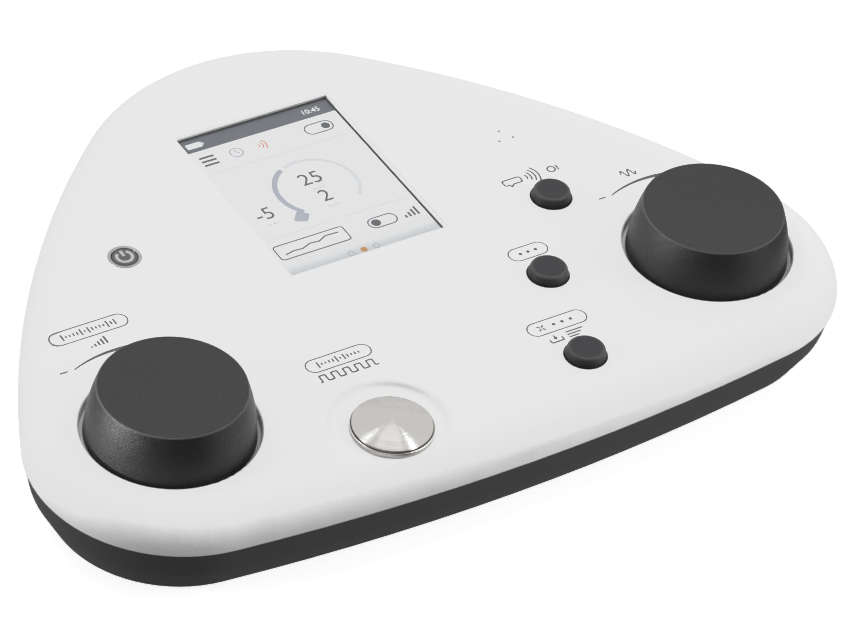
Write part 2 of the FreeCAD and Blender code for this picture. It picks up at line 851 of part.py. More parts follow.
def screw(name, x, y, seat, head_radius, head_height, shank_radius, shank_length):
    """A pan-head screw that points up: the head hangs below its seat, with a cross slot."""
    head = rod(name + "_head", x, y, f"({seat}) - ({head_height})", head_radius, head_height)
    shank = rod(name + "_shank", x, y, f"({seat}) - ({head_height}) / 2", shank_radius,
                f"({shank_length}) + ({head_height}) / 2")
    slots = [
        block(f"{name}_slot{turn}", x, y, f"({seat}) - ({head_height}) - past",
              f"({head_radius}) * {share_x}", f"({head_radius}) * {share_y}",
              f"({head_height}) / 2 + past")
        for turn, (share_x, share_y) in enumerate((
            ("slot_width_share", "slot_length_share"),
            ("slot_length_share", "slot_width_share"),
        ))
    ]
    return cut(name, fuse(name + "_solid", [head, shank]), *slots)


def make_case_screws():
    screws = []
    inserts = []
    for index, (x, y) in enumerate(CASE_SCREWS):
        screws.append(
            screw("case_screw%d" % index, x, y, "screw_seat_z", "case_head_radius",
                  "case_head_height", "case_screw_radius",
                  "seam_z + insert_length - screw_seat_z")
        )
        inserts.append(
            tube_wall("insert%d" % index, x, y, "seam_z", "insert_radius",
                      "case_screw_radius + nose_gap", "insert_length")
        )
    subpart("case_screws", group("case_screws", screws))
    subpart("threaded_inserts", group("threaded_inserts", inserts))


# ---------------------------------------------------------------- battery
def make_battery():
    door = cut(
        "battery_door",
        block("door_plate", "0", "door_centre_y", "feet_height",
              "door_opening_width - 2 * door_gap", "door_opening_length - 2 * door_gap",
              "door_thickness"),
        rod("door_screw_way", "0", "door_screw_y", "0", "case_screw_hole", "pack_under_z + past"),
        rod("door_screw_sink", "0", "door_screw_y", "0", "counterbore_radius",
            "feet_height + door_thickness / 2"),
        block("door_grip", "0", "door_centre_y + door_opening_length / 2 - door_grip_inset",
              "feet_height - past", "pack_width / 4", "door_grip_width",
              "past + door_thickness / 2"),
    )
    subpart("battery_door", door)
    subpart(
        "battery_door_screw",
        screw("battery_door_screw", "0", "door_screw_y", "feet_height + door_thickness / 2",
              "small_head_radius", "door_thickness / 2 - flush_gap", "small_screw_radius",
              "door_screw_length"),
    )
    subpart(
        "battery_pack",
        block("battery_pack", "0", "pack_y", "pack_under_z", "pack_width", "pack_length",
              "pack_height"),
    )
    connector_x = "pack_width / 2 + 3 * lead_run"
    subpart(
        "battery_connector",
        block("battery_connector", f"{connector_x} + battery_connector_width / 2",
              "pack_y - lead_offset", "board_under_z - battery_connector_height",
              "battery_connector_width", "2 * battery_connector_width",
              "battery_connector_height"),
    )
    wires = []
    for index in range(2):
        z = value(f"pack_top_z - lead_drop - {index} * lead_spacing")
        near_y = value("pack_y")
        far_y = value("pack_y - lead_offset")
        start_x = value("pack_width / 2")
        run = value("lead_run")
        route = [
            FreeCAD.Vector(start_x, near_y, z),
            FreeCAD.Vector(start_x + run, near_y, z),
            FreeCAD.Vector(start_x + 2 * run, far_y, z),
            FreeCAD.Vector(start_x + 3 * run, far_y, z),
        ]
        wires.append(lead(route, value("lead_radius"), value("lead_bend")))
    bundle = doc.addObject("Part::Feature", "battery_lead")
    bundle.Shape = Part.makeCompound(wires)
    subpart("battery_lead", bundle)


def lead(route, radius, bend):
    """A round wire along straight runs joined by tangent arcs of one bend radius."""
    edges = []
    start = route[0]
    for before, corner, after in zip(route, route[1:], route[2:]):
        back = (before - corner).normalize()
        ahead = (after - corner).normalize()
        half = back.getAngle(ahead) / 2
        trim = bend / math.tan(half)
        enter = corner + back * trim
        leave = corner + ahead * trim
        inward = (back + ahead).normalize()
        middle = corner + inward * (bend / math.sin(half) - bend)
        edges.append(Part.LineSegment(start, enter).toShape())
        edges.append(Part.Arc(enter, middle, leave).toShape())
        start = leave
    edges.append(Part.LineSegment(start, route[-1]).toShape())
    path = Part.Wire(edges)
    section = Part.Wire([Part.makeCircle(radius, route[0], route[1] - route[0])])
    return path.makePipeShell([section], True, False)


# ---------------------------------------------------------------- main board
def make_board():
    right = (
        ("board_front_x", "board_front_y"),
        ("board_side_x", "board_corner_y"),
        ("board_side_x", "board_side_y"),
        ("board_wing_x", "board_wing_y"),
        ("board_neck_x", "board_neck_y"),
        ("board_neck_x", "board_rear_y"),
    )
    left = tuple((f"-{x}", y) for x, y in reversed(right))
    blank = plate("board_blank", right + left, "board_under_z", "board_thickness")
    holes = [
        rod("board_hole%d" % index, x, y, "board_under_z - past", "small_screw_hole",
            "board_thickness + 2 * past")
        for index, (x, y) in enumerate(BOARD_SCREWS)
    ]
    subpart("main_board", cut("main_board", blank, *holes))
    subpart("board_screws", group("board_screws", [
        screw("board_screw%d" % index, x, y, "board_under_z", "small_head_radius",
              "small_head_height", "small_screw_radius", "board_screw_length")
        for index, (x, y) in enumerate(BOARD_SCREWS)
    ]))
    can = cut(
        "shield_can",
        block("can_outer", "can_x", "can_y", "board_top_z", "can_width", "can_length",
              "can_height"),
        block("can_inner", "can_x", "can_y", "board_top_z - past", "can_width - 2 * can_sheet",
              "can_length - 2 * can_sheet", "can_height - can_sheet + past"),
    )
    subpart("shield_can", can)
    subpart("board_chips", group("board_chips", [
        block("processor", "can_x", "processor_y", "board_top_z",
              "processor_width", "processor_width", "chip_height"),
        block("codec", "can_x - can_width / 4", "can_y", "board_top_z", "chip_width",
              "chip_width", "chip_height"),
        block("amplifier", "can_x + can_width / 4", "can_y", "board_top_z", "chip_width",
              "chip_width", "chip_height"),
        block("charger", "board_boss_side_x - chip_width - 3 * board_boss_radius",
              "window_y - chip_width", "board_top_z", "chip_width", "chip_width",
              "chip_height"),
    ]))


# ---------------------------------------------------------------- display
def make_display():
    x, y = "window_x", "window_y"
    subpart("display_lens", block("display_lens", x, y, "lens_under_z", "lens_width",
                                  "lens_length", "lens_thickness"))
    gasket = cut(
        "display_gasket",
        block("gasket_outer", x, y, "module_top_z", "lens_width", "lens_length",
              "gasket_thickness"),
        block("gasket_inner", x, y, "module_top_z - past", "glass_width", "glass_length",
              "gasket_thickness + 2 * past"),
    )
    subpart("display_gasket", gasket)
    module = fuse("display_module", [
        block("module_body", x, y, "module_under_z", "module_width", "module_length",
              "module_thickness"),
        block("module_glass", x, y, "module_top_z - past", "glass_width", "glass_length",
              "gasket_thickness + past"),
    ])
    subpart("display_module", module)
    bracket = cut(
        "display_bracket",
        block("bracket_plate", x, y, "bracket_under_z", "bracket_width", "module_length",
              "bracket_thickness"),
        *[
            rod("bracket_hole%d" % index, hole_x, hole_y, "bracket_under_z - past",
                "small_screw_hole", "bracket_thickness + 2 * past")
            for index, (hole_x, hole_y) in enumerate(BRACKET_SCREWS)
        ],
    )
    subpart("display_bracket", bracket)
    subpart("display_screws", group("display_screws", [
        screw("display_screw%d" % index, hole_x, hole_y, "bracket_under_z",
              "small_head_radius", "small_head_height", "small_screw_radius",
              "ceiling_z + wall / 4 - bracket_under_z")
        for index, (hole_x, hole_y) in enumerate(BRACKET_SCREWS)
    ]))

    # the flat cable leaves the module's near edge, turns under and runs back to its connector
    edge_y = "window_y - module_length / 2"
    high = "module_top_z - ribbon_drop"
    low = "board_top_z + ribbon_rise"
    bend = f"(({high}) - ({low})) / 2"
    turn_y = f"{edge_y} - ribbon_reach"
    turn_z = f"(({high}) + ({low})) / 2"
    top_run = block("ribbon_top", x, f"{edge_y} - ribbon_reach / 2",
                    f"{high} - ribbon_thickness / 2", "ribbon_width", "ribbon_reach",
                    "ribbon_thickness")
    low_run = block("ribbon_low", x, f"{turn_y} + ribbon_run / 2",
                    f"{low} - ribbon_thickness / 2", "ribbon_width", "ribbon_run",
                    "ribbon_thickness")
    halves = []
    for word, sign in (("outer", 1), ("inner", -1)):
        half = doc.addObject("Part::Cylinder", "ribbon_" + word)
        half.Angle = 180
        half.Placement.Rotation = FreeCAD.Rotation(
            FreeCAD.Vector(0, 0, 1), FreeCAD.Vector(0, -1, 0), FreeCAD.Vector(1, 0, 0), "ZXY"
        )
        bind(half, Radius=f"{bend} + {sign} * ribbon_thickness / 2", Height="ribbon_width")
        place(half, "window_x - ribbon_width / 2", turn_y, turn_z)
        halves.append(half)
    loop = cut("ribbon_loop", halves[0], halves[1])
    subpart("display_ribbon", fuse("display_ribbon", [top_run, loop, low_run]))
    subpart(
        "ribbon_connector",
        block("ribbon_connector", x,
              f"{turn_y} + ribbon_run + ribbon_connector_length / 2", "board_top_z",
              "ribbon_connector_width", "ribbon_connector_length",
              "ribbon_connector_height"),
    )


# ---------------------------------------------------------------- knobs and encoders
def d_shape(name, x, radius, bottom, height):
    """A round bar with one flat, for a shaft's end or the hole that takes it."""
    return cut(
        name,
        rod(name + "_round", x, "knob_y", bottom, radius, height),
        block(name + "_flat", f"({x}) + shaft_radius + shaft_flat", "knob_y", f"({bottom}) - past",
              "2 * shaft_radius", "3 * shaft_radius", f"({height}) + 2 * past"),
    )


def make_knob(side, x):
    encoder = cut(
        side + "_encoder",
        fuse(side + "_encoder_solid", [
            block(side + "_encoder_body", x, "knob_y", "board_top_z", "encoder_width",
                  "encoder_width", "encoder_height"),
            rod(side + "_bush", x, "knob_y", "well_under_z - past", "bush_radius",
                "bush_top_z - well_under_z + past"),
        ]),
        rod(side + "_bearing", x, "knob_y", "board_top_z + encoder_floor",
            "shaft_radius + plunger_gap", "encoder_height + well_depth + bush_stand"),
    )
    subpart(side + "_encoder", encoder)

    shaft = fuse(side + "_encoder_shaft", [
        rod(side + "_journal", x, "knob_y", "board_top_z + encoder_floor + flange_gap",
            "shaft_radius",
            "bush_top_z + shaft_shoulder - board_top_z - encoder_floor - flange_gap"),
        d_shape(side + "_shaft_end", x, "shaft_radius", "bush_top_z + shaft_shoulder",
                "shaft_stand - shaft_shoulder"),
    ])
    subpart(side + "_encoder_shaft", shaft)

    hub_bottom = "bush_top_z + shaft_shoulder + flange_gap"
    hub = cut(
        side + "_knob_hub",
        rod(side + "_hub_round", x, "knob_y", hub_bottom, "hub_radius",
            f"knob_ceiling_z - ({hub_bottom})"),
        d_shape(side + "_hub_bore", x, "shaft_radius + nose_gap", f"{hub_bottom} - past",
                f"bush_top_z + shaft_stand + past - ({hub_bottom})"),
    )
    subpart(side + "_knob_hub", hub)

    taper = "(knob_base_radius - knob_top_radius) / (knob_top_z - knob_base_z)"
    skin = turned(side + "_knob_skin", x, "knob_y", (
        ("0", "knob_ceiling_z"),
        (f"knob_top_radius + {taper} * knob_top_wall - knob_wall", "knob_ceiling_z"),
        ("knob_base_radius - knob_wall", "knob_base_z"),
        ("knob_base_radius", "knob_base_z"),
        ("knob_side_radius", "top_z + knob_side_rise"),
        ("knob_top_radius", "knob_top_z"),
        ("0", "knob_top_z"),
    ), rounds=(
        ("knob_side_radius", "top_z + knob_side_rise", "knob_side_curve"),
        ("knob_top_radius", "knob_top_z", "knob_edge_radius"),
        ("knob_base_radius", "knob_base_z", "knob_edge_radius"),
    ))
    socket = tube_wall(side + "_knob_socket", x, "knob_y", "knob_ceiling_z - knob_socket_depth",
                       "hub_radius + nose_gap + knob_socket_wall", "hub_radius + nose_gap",
                       "knob_socket_depth + knob_top_wall / 2")
    filling = rod(side + "_knob_filling", x, "knob_y", "knob_ceiling_z",
                  "hub_radius + knob_socket_wall",
                  "knob_top_wall / 2")
    dish_radius = "(knob_top_radius - knob_rim_width)"
    dish_sphere = f"({dish_radius} * {dish_radius} + knob_dish_depth * knob_dish_depth)" \
                  " / (2 * knob_dish_depth)"
    dish = sphere(side + "_knob_dish", x, "knob_y",
                  f"knob_top_z - knob_dish_depth + {dish_sphere}", dish_sphere)
    subpart(side + "_knob", cut(side + "_knob",
                                fuse(side + "_knob_solid", [skin, socket, filling]), dish))


def make_encoder_fixings():
    nuts = []
    washers = []
    for side, x in KNOBS.items():
        washers.append(tube_wall(side + "_washer", x, "knob_y", "well_floor_z", "washer_radius",
                                 "bush_radius + nose_gap", "washer_thickness"))
        nuts.append(cut(
            side + "_nut",
            hexagon(side + "_nut_body", x, "knob_y", "well_floor_z + washer_thickness",
                    "nut_circumradius", "nut_height"),
            rod(side + "_nut_hole", x, "knob_y", "well_floor_z", "bush_radius + nose_gap",
                "nut_height + 2 * past"),
        ))
    subpart("encoder_nuts", group("encoder_nuts", nuts))
    subpart("encoder_washers", group("encoder_washers", washers))


# ---------------------------------------------------------------- push buttons
def make_switch(name, x, y, width, housing, plunger, travel, top):
    """A push switch on the board, and the plunger that its button presses."""
    subpart(name + "_switch", cut(
        name + "_switch",
        block(name + "_housing", x, y, "board_top_z", width, width, housing),
        rod(name + "_guide", x, y, "board_top_z + switch_floor", f"{plunger} + plunger_gap",
            housing),
    ))
    foot = f"board_top_z + switch_floor + {travel} + plunger_margin"
    subpart(name + "_plunger", rod(name + "_plunger", x, y, foot, plunger,
                                   f"{top} - ({foot})"))


def make_small_button(name, x, y):
    make_switch(name, x, y, "switch_width", "switch_housing", "plunger_radius", "cap_travel",
                "plunger_top_z")
    subpart(name + "_button", turned(name + "_button", x, y, (
        ("0", "plunger_top_z"),
        ("cap_stem_radius", "plunger_top_z"),
        ("cap_stem_radius", "flange_bottom_z"),
        ("cap_radius + cap_flange", "flange_bottom_z"),
        ("cap_radius + cap_flange", "flange_top_z"),
        ("cap_radius", "flange_top_z"),
        ("cap_radius", "top_z + cap_shoulder"),
        ("cap_top_radius", "top_z + cap_rise"),
        ("0", "top_z + cap_rise"),
    ), rounds=(("cap_top_radius", "top_z + cap_rise", "cap_edge_radius"),)))


def dome_form(name, radius, sphere_radius, bottom):
    """A round bar with a gently domed end."""
    return common(
        name,
        rod(name + "_bar", "stimulus_x", "stimulus_y", bottom, radius,
            f"dome_top_z + past - ({bottom})"),
        sphere(name + "_ball", "stimulus_x", "stimulus_y", "dome_top_z - dome_sphere",
               sphere_radius),
    )


def make_stimulus_button():
    x, y = "stimulus_x", "stimulus_y"
    make_switch("stimulus", x, y, "switch_width", "stimulus_housing", "plunger_radius",
                "stimulus_travel", "stimulus_plunger_z")
    tube_outer = "ring_radius - ring_lip_overhang"
    lip_top = "top_z - dish_depth + ring_lip"
    subpart("stimulus_ring", turned("stimulus_ring", x, y, (
        (f"{tube_outer} - ring_tube_wall", "stimulus_pocket_z"),
        (tube_outer, "stimulus_pocket_z"),
        (tube_outer, "top_z - dish_depth"),
        ("ring_radius", "top_z - dish_depth"),
        ("ring_radius", lip_top),
        (f"{tube_outer} - ring_tube_wall", lip_top),
    )))
    inner = "dome_radius - dome_sheet"
    subpart("stimulus_dome", cut(
        "stimulus_dome",
        dome_form("dome_outside", "dome_radius", "dome_sphere", "dome_skirt_z"),
        dome_form("dome_inside", inner, "dome_sphere - dome_sheet", "dome_skirt_z - past"),
    ))
    core = dome_form("carrier_core", f"{inner} - nose_gap",
                     "dome_sphere - dome_sheet - nose_gap", "stimulus_plunger_z")
    flange = rod("carrier_flange", x, y, "stimulus_plunger_z", "stimulus_flange_radius",
                 "flange_thickness")
    subpart("stimulus_carrier", fuse("stimulus_carrier", [core, flange]))

    coil_height = "stimulus_switch_height - 2 * spring_wire_radius"
    body = new_body("stimulus_spring")
    sketch = new_sketch(body, "spring_wire", "XZ_Plane")
    centre = FreeCAD.Vector(value("spring_radius"), value("board_top_z + spring_wire_radius"), 0)
    sketch.addGeometry(
        Part.Circle(centre, FreeCAD.Vector(0, 0, 1), value("spring_wire_radius")), False
    )
    constrain(sketch, "Radius", 0, text="spring_wire_radius")
    constrain(sketch, "DistanceX", -1, 1, 0, 3, text="spring_radius")
    constrain(sketch, "DistanceY", -1, 1, 0, 3, text="board_top_z + spring_wire_radius")
    coil = body.newObject("PartDesign::AdditiveHelix", "spring_coil")
    coil.Profile = sketch
    coil.ReferenceAxis = (sketch, ["V_Axis"])
    coil.Mode = 0
    bind(coil, Pitch=f"({coil_height}) / spring_turns", Height=coil_height)
    doc.recompute()
    subpart("stimulus_spring", place(body, x, y))


def make_power_button():
    x, y = "power_x", "power_y"
    make_switch("power", x, y, "power_switch_width", "switch_housing", "power_plunger_radius",
                "power_travel", "plunger_top_z")
    inner = "power_ring_radius - power_ring_width"
    subpart("power_ring", turned("power_ring", x, y, (
        (inner, "ceiling_z"),
        ("power_ring_radius", "ceiling_z"),
        ("power_ring_radius", "top_z + power_ring_stand"),
        ("power_ring_radius - power_ring_width / 4", "top_z + power_ring_stand"),
        (inner, "top_z + power_ring_stand - power_ring_slope"),
    )))
    subpart("power_button", turned("power_button", x, y, (
        ("0", "plunger_top_z"),
        ("power_plunger_radius", "plunger_top_z"),
        ("power_plunger_radius", "flange_bottom_z"),
        ("power_ring_radius", "flange_bottom_z"),
        ("power_ring_radius", "flange_top_z"),
        ("power_button_radius", "flange_top_z"),
        ("power_button_radius", "top_z + power_ring_stand - power_drop"),
        ("0", "top_z + power_ring_stand - power_drop"),
    )))


# ---------------------------------------------------------------- microphone and sockets
def make_microphone():
    x, y = "microphone_x", "microphone_y"
    boot_height = "microphone_height + 2 * boot_roof"
    boot = cut(
        "microphone_boot",
        rod("boot_outer", x, y, f"ceiling_z - ({boot_height})", "microphone_radius + boot_wall",
            boot_height),
        rod("boot_room", x, y, f"ceiling_z - ({boot_height}) - past", "microphone_radius",
            f"{boot_height} + past - boot_roof"),
        rod("boot_port", x, y, f"ceiling_z - ({boot_height})",
            "microphone_radius - boot_wall / 2", f"{boot_height} + past"),
    )
    subpart("microphone_boot", boot)
    subpart("microphone", rod("microphone", x, y, "ceiling_z - boot_roof - microphone_height",
                              "microphone_radius - nose_gap", "microphone_height"))


def make_sockets():
    for name, step in SOCKETS.items():
        x = f"{step} * socket_pitch"
        shell = fuse(name + "_solid", [
            block(name + "_body", x, "panel_y - wall - socket_length / 2",
                  "board_under_z - socket_height", "socket_width", "socket_length",
                  "socket_height"),
            rod_along_y(name + "_nose", x, "socket_z", "panel_y - wall - past",
                        "socket_nose_radius", "wall + past + socket_nose_stand"),
        ])
        bore = rod_along_y(name + "_bore", x, "socket_z", "socket_tip_y - socket_bore_depth",
                           "socket_bore_radius", "socket_bore_depth + past")
        subpart(name, cut(name, shell, bore))

    x = f"{USB_PLACE} * socket_pitch"
    front = "panel_y + usb_stand"
    shell = cut(
        "usb_shell",
        block("usb_body", x, f"{front} - usb_length / 2", "board_under_z - usb_height",
              "usb_width", "usb_length", "usb_height"),
        block("usb_mouth", x, f"{front} - usb_depth / 2 + past / 2",
              "board_under_z - usb_height + usb_wall", "usb_width - 2 * usb_wall",
              "usb_depth + past", "usb_height - 2 * usb_wall"),
    )
    tongue = block("usb_tongue", x, f"{front} - usb_depth / 2 - past",
                   "usb_z - usb_tongue_height / 2", "usb_tongue_width", "usb_depth",
                   "usb_tongue_height")
    subpart("usb_socket", fuse("usb_socket", [shell, tongue]))


# ---------------------------------------------------------------- build and write
def check(item):
    """Stop on a failed feature, so that nothing broken is written."""
    if "Invalid" in item.State or "Error" in item.State:
        raise RuntimeError("failed feature: " + item.Name)


def write_all():
    for item in doc.Objects:
        check(item)
    for name, item in SUBPARTS.items():
        if item.Shape.isNull() or not item.Shape.isValid():
            raise RuntimeError("bad shape: " + name)
    os.makedirs("parts", exist_ok=True)
    for name, item in SUBPARTS.items():
        item.Shape.exportStep("parts/" + name + ".step")
        print("%-24s solids %2d  volume %10.1f" % (name, len(item.Shape.Solids),
                                                    item.Shape.Volume))
    print(len(SUBPARTS), "sub-parts")


make_top_cover()
make_bottom_cover()
make_feet()
make_case_screws()
make_battery()
make_board()
make_display()
for knob_side, knob_place in KNOBS.items():
    make_knob(knob_side, knob_place)
make_encoder_fixings()
make_stimulus_button()
for button_name, (button_x, button_y) in SMALL_BUTTONS.items():
    make_small_button(button_name, button_x, button_y)
make_power_button()
make_microphone()
make_sockets()
doc.recompute()
write_all()
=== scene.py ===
"""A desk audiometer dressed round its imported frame: finishes, turned pieces, marks, display, studio."""

import json
import logging
import math
from collections.abc import Callable, Sequence
from dataclasses import dataclass, field
from enum import Enum

import bmesh
import bpy
from mathutils import Matrix, Vector

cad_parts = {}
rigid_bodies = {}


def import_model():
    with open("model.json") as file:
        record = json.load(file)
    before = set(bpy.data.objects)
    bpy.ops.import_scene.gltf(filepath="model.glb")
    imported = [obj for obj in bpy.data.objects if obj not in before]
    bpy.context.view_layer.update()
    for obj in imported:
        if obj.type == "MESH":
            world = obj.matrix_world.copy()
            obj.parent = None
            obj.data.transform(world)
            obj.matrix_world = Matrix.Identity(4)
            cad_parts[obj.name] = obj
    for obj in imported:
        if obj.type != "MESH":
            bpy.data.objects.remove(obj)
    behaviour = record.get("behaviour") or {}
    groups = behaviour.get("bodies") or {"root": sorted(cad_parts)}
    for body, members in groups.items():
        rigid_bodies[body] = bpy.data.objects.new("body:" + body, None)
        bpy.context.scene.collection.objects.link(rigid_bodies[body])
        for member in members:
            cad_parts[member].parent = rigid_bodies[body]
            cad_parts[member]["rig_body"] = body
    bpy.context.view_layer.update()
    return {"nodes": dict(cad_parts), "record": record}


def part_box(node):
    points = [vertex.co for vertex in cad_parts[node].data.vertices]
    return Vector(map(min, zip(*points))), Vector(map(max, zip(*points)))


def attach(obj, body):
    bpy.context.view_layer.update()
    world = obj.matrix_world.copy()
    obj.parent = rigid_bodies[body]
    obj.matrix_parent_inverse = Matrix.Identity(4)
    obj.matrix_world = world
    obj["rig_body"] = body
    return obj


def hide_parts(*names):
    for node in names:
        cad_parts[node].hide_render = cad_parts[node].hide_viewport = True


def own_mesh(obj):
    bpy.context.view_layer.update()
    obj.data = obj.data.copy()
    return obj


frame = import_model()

Point = tuple[float, float]
Place = tuple[float, float, float]
Colour = tuple[float, float, float]
Setting = dict[str, object]

LOG = logging.getLogger("audiometer")
MM = 0.001
WELD = 0.002 * MM
FULL_TURN = 2 * math.pi
FIGURE_SHARE = 0.73  # height of a figure as a share of the font's size
SMALL_TURN = 96  # steps round a small turned piece
SUNK = 0.02  # how far a printed mark reaches into its surface, in millimetres
FLANGE: Point = (24.4, 25.4)  # heights of the faces of a button's flange, in millimetres
DOME = "stimulus_dome_skin"


# ---------------------------------------------------------------- node trees
class Value:
    """A socket that takes part in Python expressions, each adding its Math node.

    Args:
        graph: the tree that the socket is in.
        socket: the output socket itself.
    """

    def __init__(self, graph: "Graph", socket: bpy.types.NodeSocket) -> None:
        """Keeps the tree and the socket."""
        self.graph = graph
        self.socket = socket

    def maths(self, operation: str, *terms: "Value | float") -> "Value":
        """Adds one Math node.

        Args:
            operation: Blender's name for the operation.
            terms: values for the node's inputs, in order.

        Returns:
            The node's result.
        """
        node = self.graph.node("ShaderNodeMath", {"operation": operation}, dict(enumerate(terms)))
        return Value(self.graph, node.outputs[0])

    def __add__(self, other: "Value | float") -> "Value":
        """Sum."""
        return self.maths("ADD", self, other)

    __radd__ = __add__

    def __mul__(self, other: "Value | float") -> "Value":
        """Product."""
        return self.maths("MULTIPLY", self, other)

    __rmul__ = __mul__

    def __sub__(self, other: "Value | float") -> "Value":
        """Difference."""
        return self.maths("SUBTRACT", self, other)

    def __rsub__(self, other: "Value | float") -> "Value":
        """Difference from a number."""
        return self.maths("SUBTRACT", other, self)

    def __pow__(self, other: float) -> "Value":
        """Power."""
        return self.maths("POWER", self, other)

    def above(self, other: float) -> "Value":
        """One where the value is greater, else nought."""
        return self.maths("GREATER_THAN", self, other)

    def root(self) -> "Value":
        """Square root."""
        return self.maths("SQRT", self)

    def wave(self, pitch: float) -> "Value":
        """A sine between nought and one that repeats at a pitch."""
        angle = self * (FULL_TURN / pitch)
        return 0.5 + 0.5 * angle.maths("SINE", angle)


class Graph:
    """A node tree with one method that adds any node.

    Args:
        tree: the tree to fill.
    """

    def __init__(self, tree: bpy.types.NodeTree) -> None:
        """Keeps the tree."""
        self.tree = tree

    def node(self, kind: str, settings: Setting | None = None,
             values: dict | None = None) -> bpy.types.Node:
        """Adds a node, sets its options and then its sockets.

        Args:
            kind: Blender's node type.
            settings: options by name; "stops" holds a ramp's positions and colours.
            values: numbers, colours, Values or sockets by input name or index.

        Returns:
            The new node.
        """
        node = self.tree.nodes.new(kind)
        for name, setting in (settings or {}).items():
            if name == "stops":
                elements = node.color_ramp.elements
                while len(elements) < len(setting):
                    elements.new(1.0)
                for element, (position, colour) in zip(elements, setting):
                    element.position = position
                    element.color = (*colour, 1.0)
            else:
                setattr(node, name, setting)
        for key, value in (values or {}).items():
            for item in value if isinstance(value, list) else [value]:
                source = item.socket if isinstance(item, Value) else item
                if isinstance(source, bpy.types.NodeSocket):
                    self.tree.links.new(source, node.inputs[key])
                else:
                    node.inputs[key].default_value = source
        return node

    def value(self, kind: str, settings: Setting, values: dict) -> Value:
        """Adds a node and gives its first output as a Value."""
        return Value(self, self.node(kind, settings, values).outputs[0])

    def split(self, vector: bpy.types.NodeSocket) -> list[Value]:
        """The three parts of a vector."""
        parts = self.node("ShaderNodeSeparateXYZ", {}, {0: vector})
        return [Value(self, output) for output in parts.outputs]


class Surface(Graph):
    """A material's tree, with the patterns that the finishes share.

    Args:
        name: the material's name.
    """

    def __init__(self, name: str) -> None:
        """Makes an empty material."""
        self.material = bpy.data.materials.new(name)
        self.material.use_nodes = True
        super().__init__(self.material.node_tree)
        self.tree.nodes.clear()
        self.place = self.node("ShaderNodeTexCoord").outputs["Object"]

    def noise(self, size: float, detail: float = 2.0) -> Value:
        """Noise whose lumps are about one size across.

        Args:
            size: size of a lump in millimetres.
            detail: finer layers on top.

        Returns:
            Values from nought to one.
        """
        return self.value("ShaderNodeTexNoise", {}, {
            "Vector": self.place, "Scale": 1 / (size * MM), "Detail": detail})

    def radius(self, centre: Point) -> Value:
        """Distance in metres from an upright axis.

        Args:
            centre: place of the axis in millimetres.

        Returns:
            The distance.
        """
        shift = (-centre[0] * MM, -centre[1] * MM, 0)
        moved = self.node("ShaderNodeMapping", {}, {"Vector": self.place, "Location": shift})
        x, y, _ = self.split(moved.outputs[0])
        return (x * x + y * y).root()

    def blend(self, share: Value, first: Value | Colour, second: Value | Colour) -> Value:
        """Mixes two colours by a share.

        Args:
            share: nought gives the first colour and one the second.
            first: a pattern's colour or a linear one.
            second: a pattern's colour or a linear one.

        Returns:
            The mixed colour.
        """
        low, high = (end if isinstance(end, Value) else (*end, 1.0) for end in (first, second))
        node = self.node("ShaderNodeMix", {"data_type": "RGBA"}, {0: share, 6: low, 7: high})
        return Value(self, node.outputs[2])

    def relief(self, height: Value, depth: float, under: Value | None = None) -> Value:
        """Bump from a height pattern.

        Args:
            height: values from nought to one.
            depth: full depth of the pattern in millimetres.
            under: a bent normal that this one is laid over.

        Returns:
            The bent normal.
        """
        values = {"Height": height, "Distance": depth * MM}
        if under:
            values["Normal"] = under
        return self.value("ShaderNodeBump", {}, values)

    def ramp(self, value: Value, start: float, end: float) -> Value:
        """Rises smoothly from nought to one between two places in millimetres."""
        return self.value("ShaderNodeMapRange", {"interpolation_type": "SMOOTHSTEP"}, {
            "Value": value, "From Min": start * MM, "From Max": end * MM})

    def finish(self, values: dict) -> bpy.types.Material:
        """Closes the tree with a Principled shader.

        Args:
            values: the shader's sockets by name.

        Returns:
            The finished material.
        """
        shader = self.node("ShaderNodeBsdfPrincipled", {}, values)
        self.node("ShaderNodeOutputMaterial", {}, {"Surface": shader.outputs[0]})
        return self.material


# ---------------------------------------------------------------- finishes
def shade(tone: Colour, share: float) -> Colour:
    """A tone made lighter or darker by a factor."""
    return tuple(min(1.0, part * share) for part in tone)


@dataclass(frozen=True)
class MouldedPlastic:
    """Moulded plastic or rubber with a fine spark-eroded grain.

    Args:
        name: name of the material.
        tone: linear colour.
        roughness: mean roughness.
        grain: size of the grain in millimetres.
        depth: depth of the grain in millimetres.
        cloud: share by which the tone drifts over the surface.
        level: specular level.
        spark: how far the grain changes the roughness.
    """

    name: str
    tone: Colour
    roughness: float = 0.5
    grain: float = 0.4
    depth: float = 0.02
    cloud: float = 0.03
    level: float = 0.5
    spark: float = 0.06

    def make(self) -> bpy.types.Material:
        """Builds the material."""
        surface = Surface(self.name)
        broad = surface.noise(18.0)
        grain = surface.noise(self.grain, 3.0)
        fine = surface.noise(self.grain / 3, 1.0)
        tone = surface.blend(0.75 * broad + 0.25 * grain, shade(self.tone, 1 - self.cloud),
                             shade(self.tone, 1 + self.cloud))
        return surface.finish({
            "Base Color": self.painted_light(surface, tone),
            "Roughness": self.roughness + 0.06 * (broad - 0.5) + 2 * self.spark * (grain - 0.5),
            "Specular IOR Level": self.level,
            "Normal": surface.relief(0.7 * grain + 0.3 * fine, self.depth, self.form(surface)),
        })

    def form(self, surface: Surface) -> Value | None:
        """A soft form under the grain; a plain moulding has none."""
        return None

    def painted_light(self, surface: Surface, tone: Value) -> Value:
        """The tone with its painted light; a plain moulding has none."""
        return tone


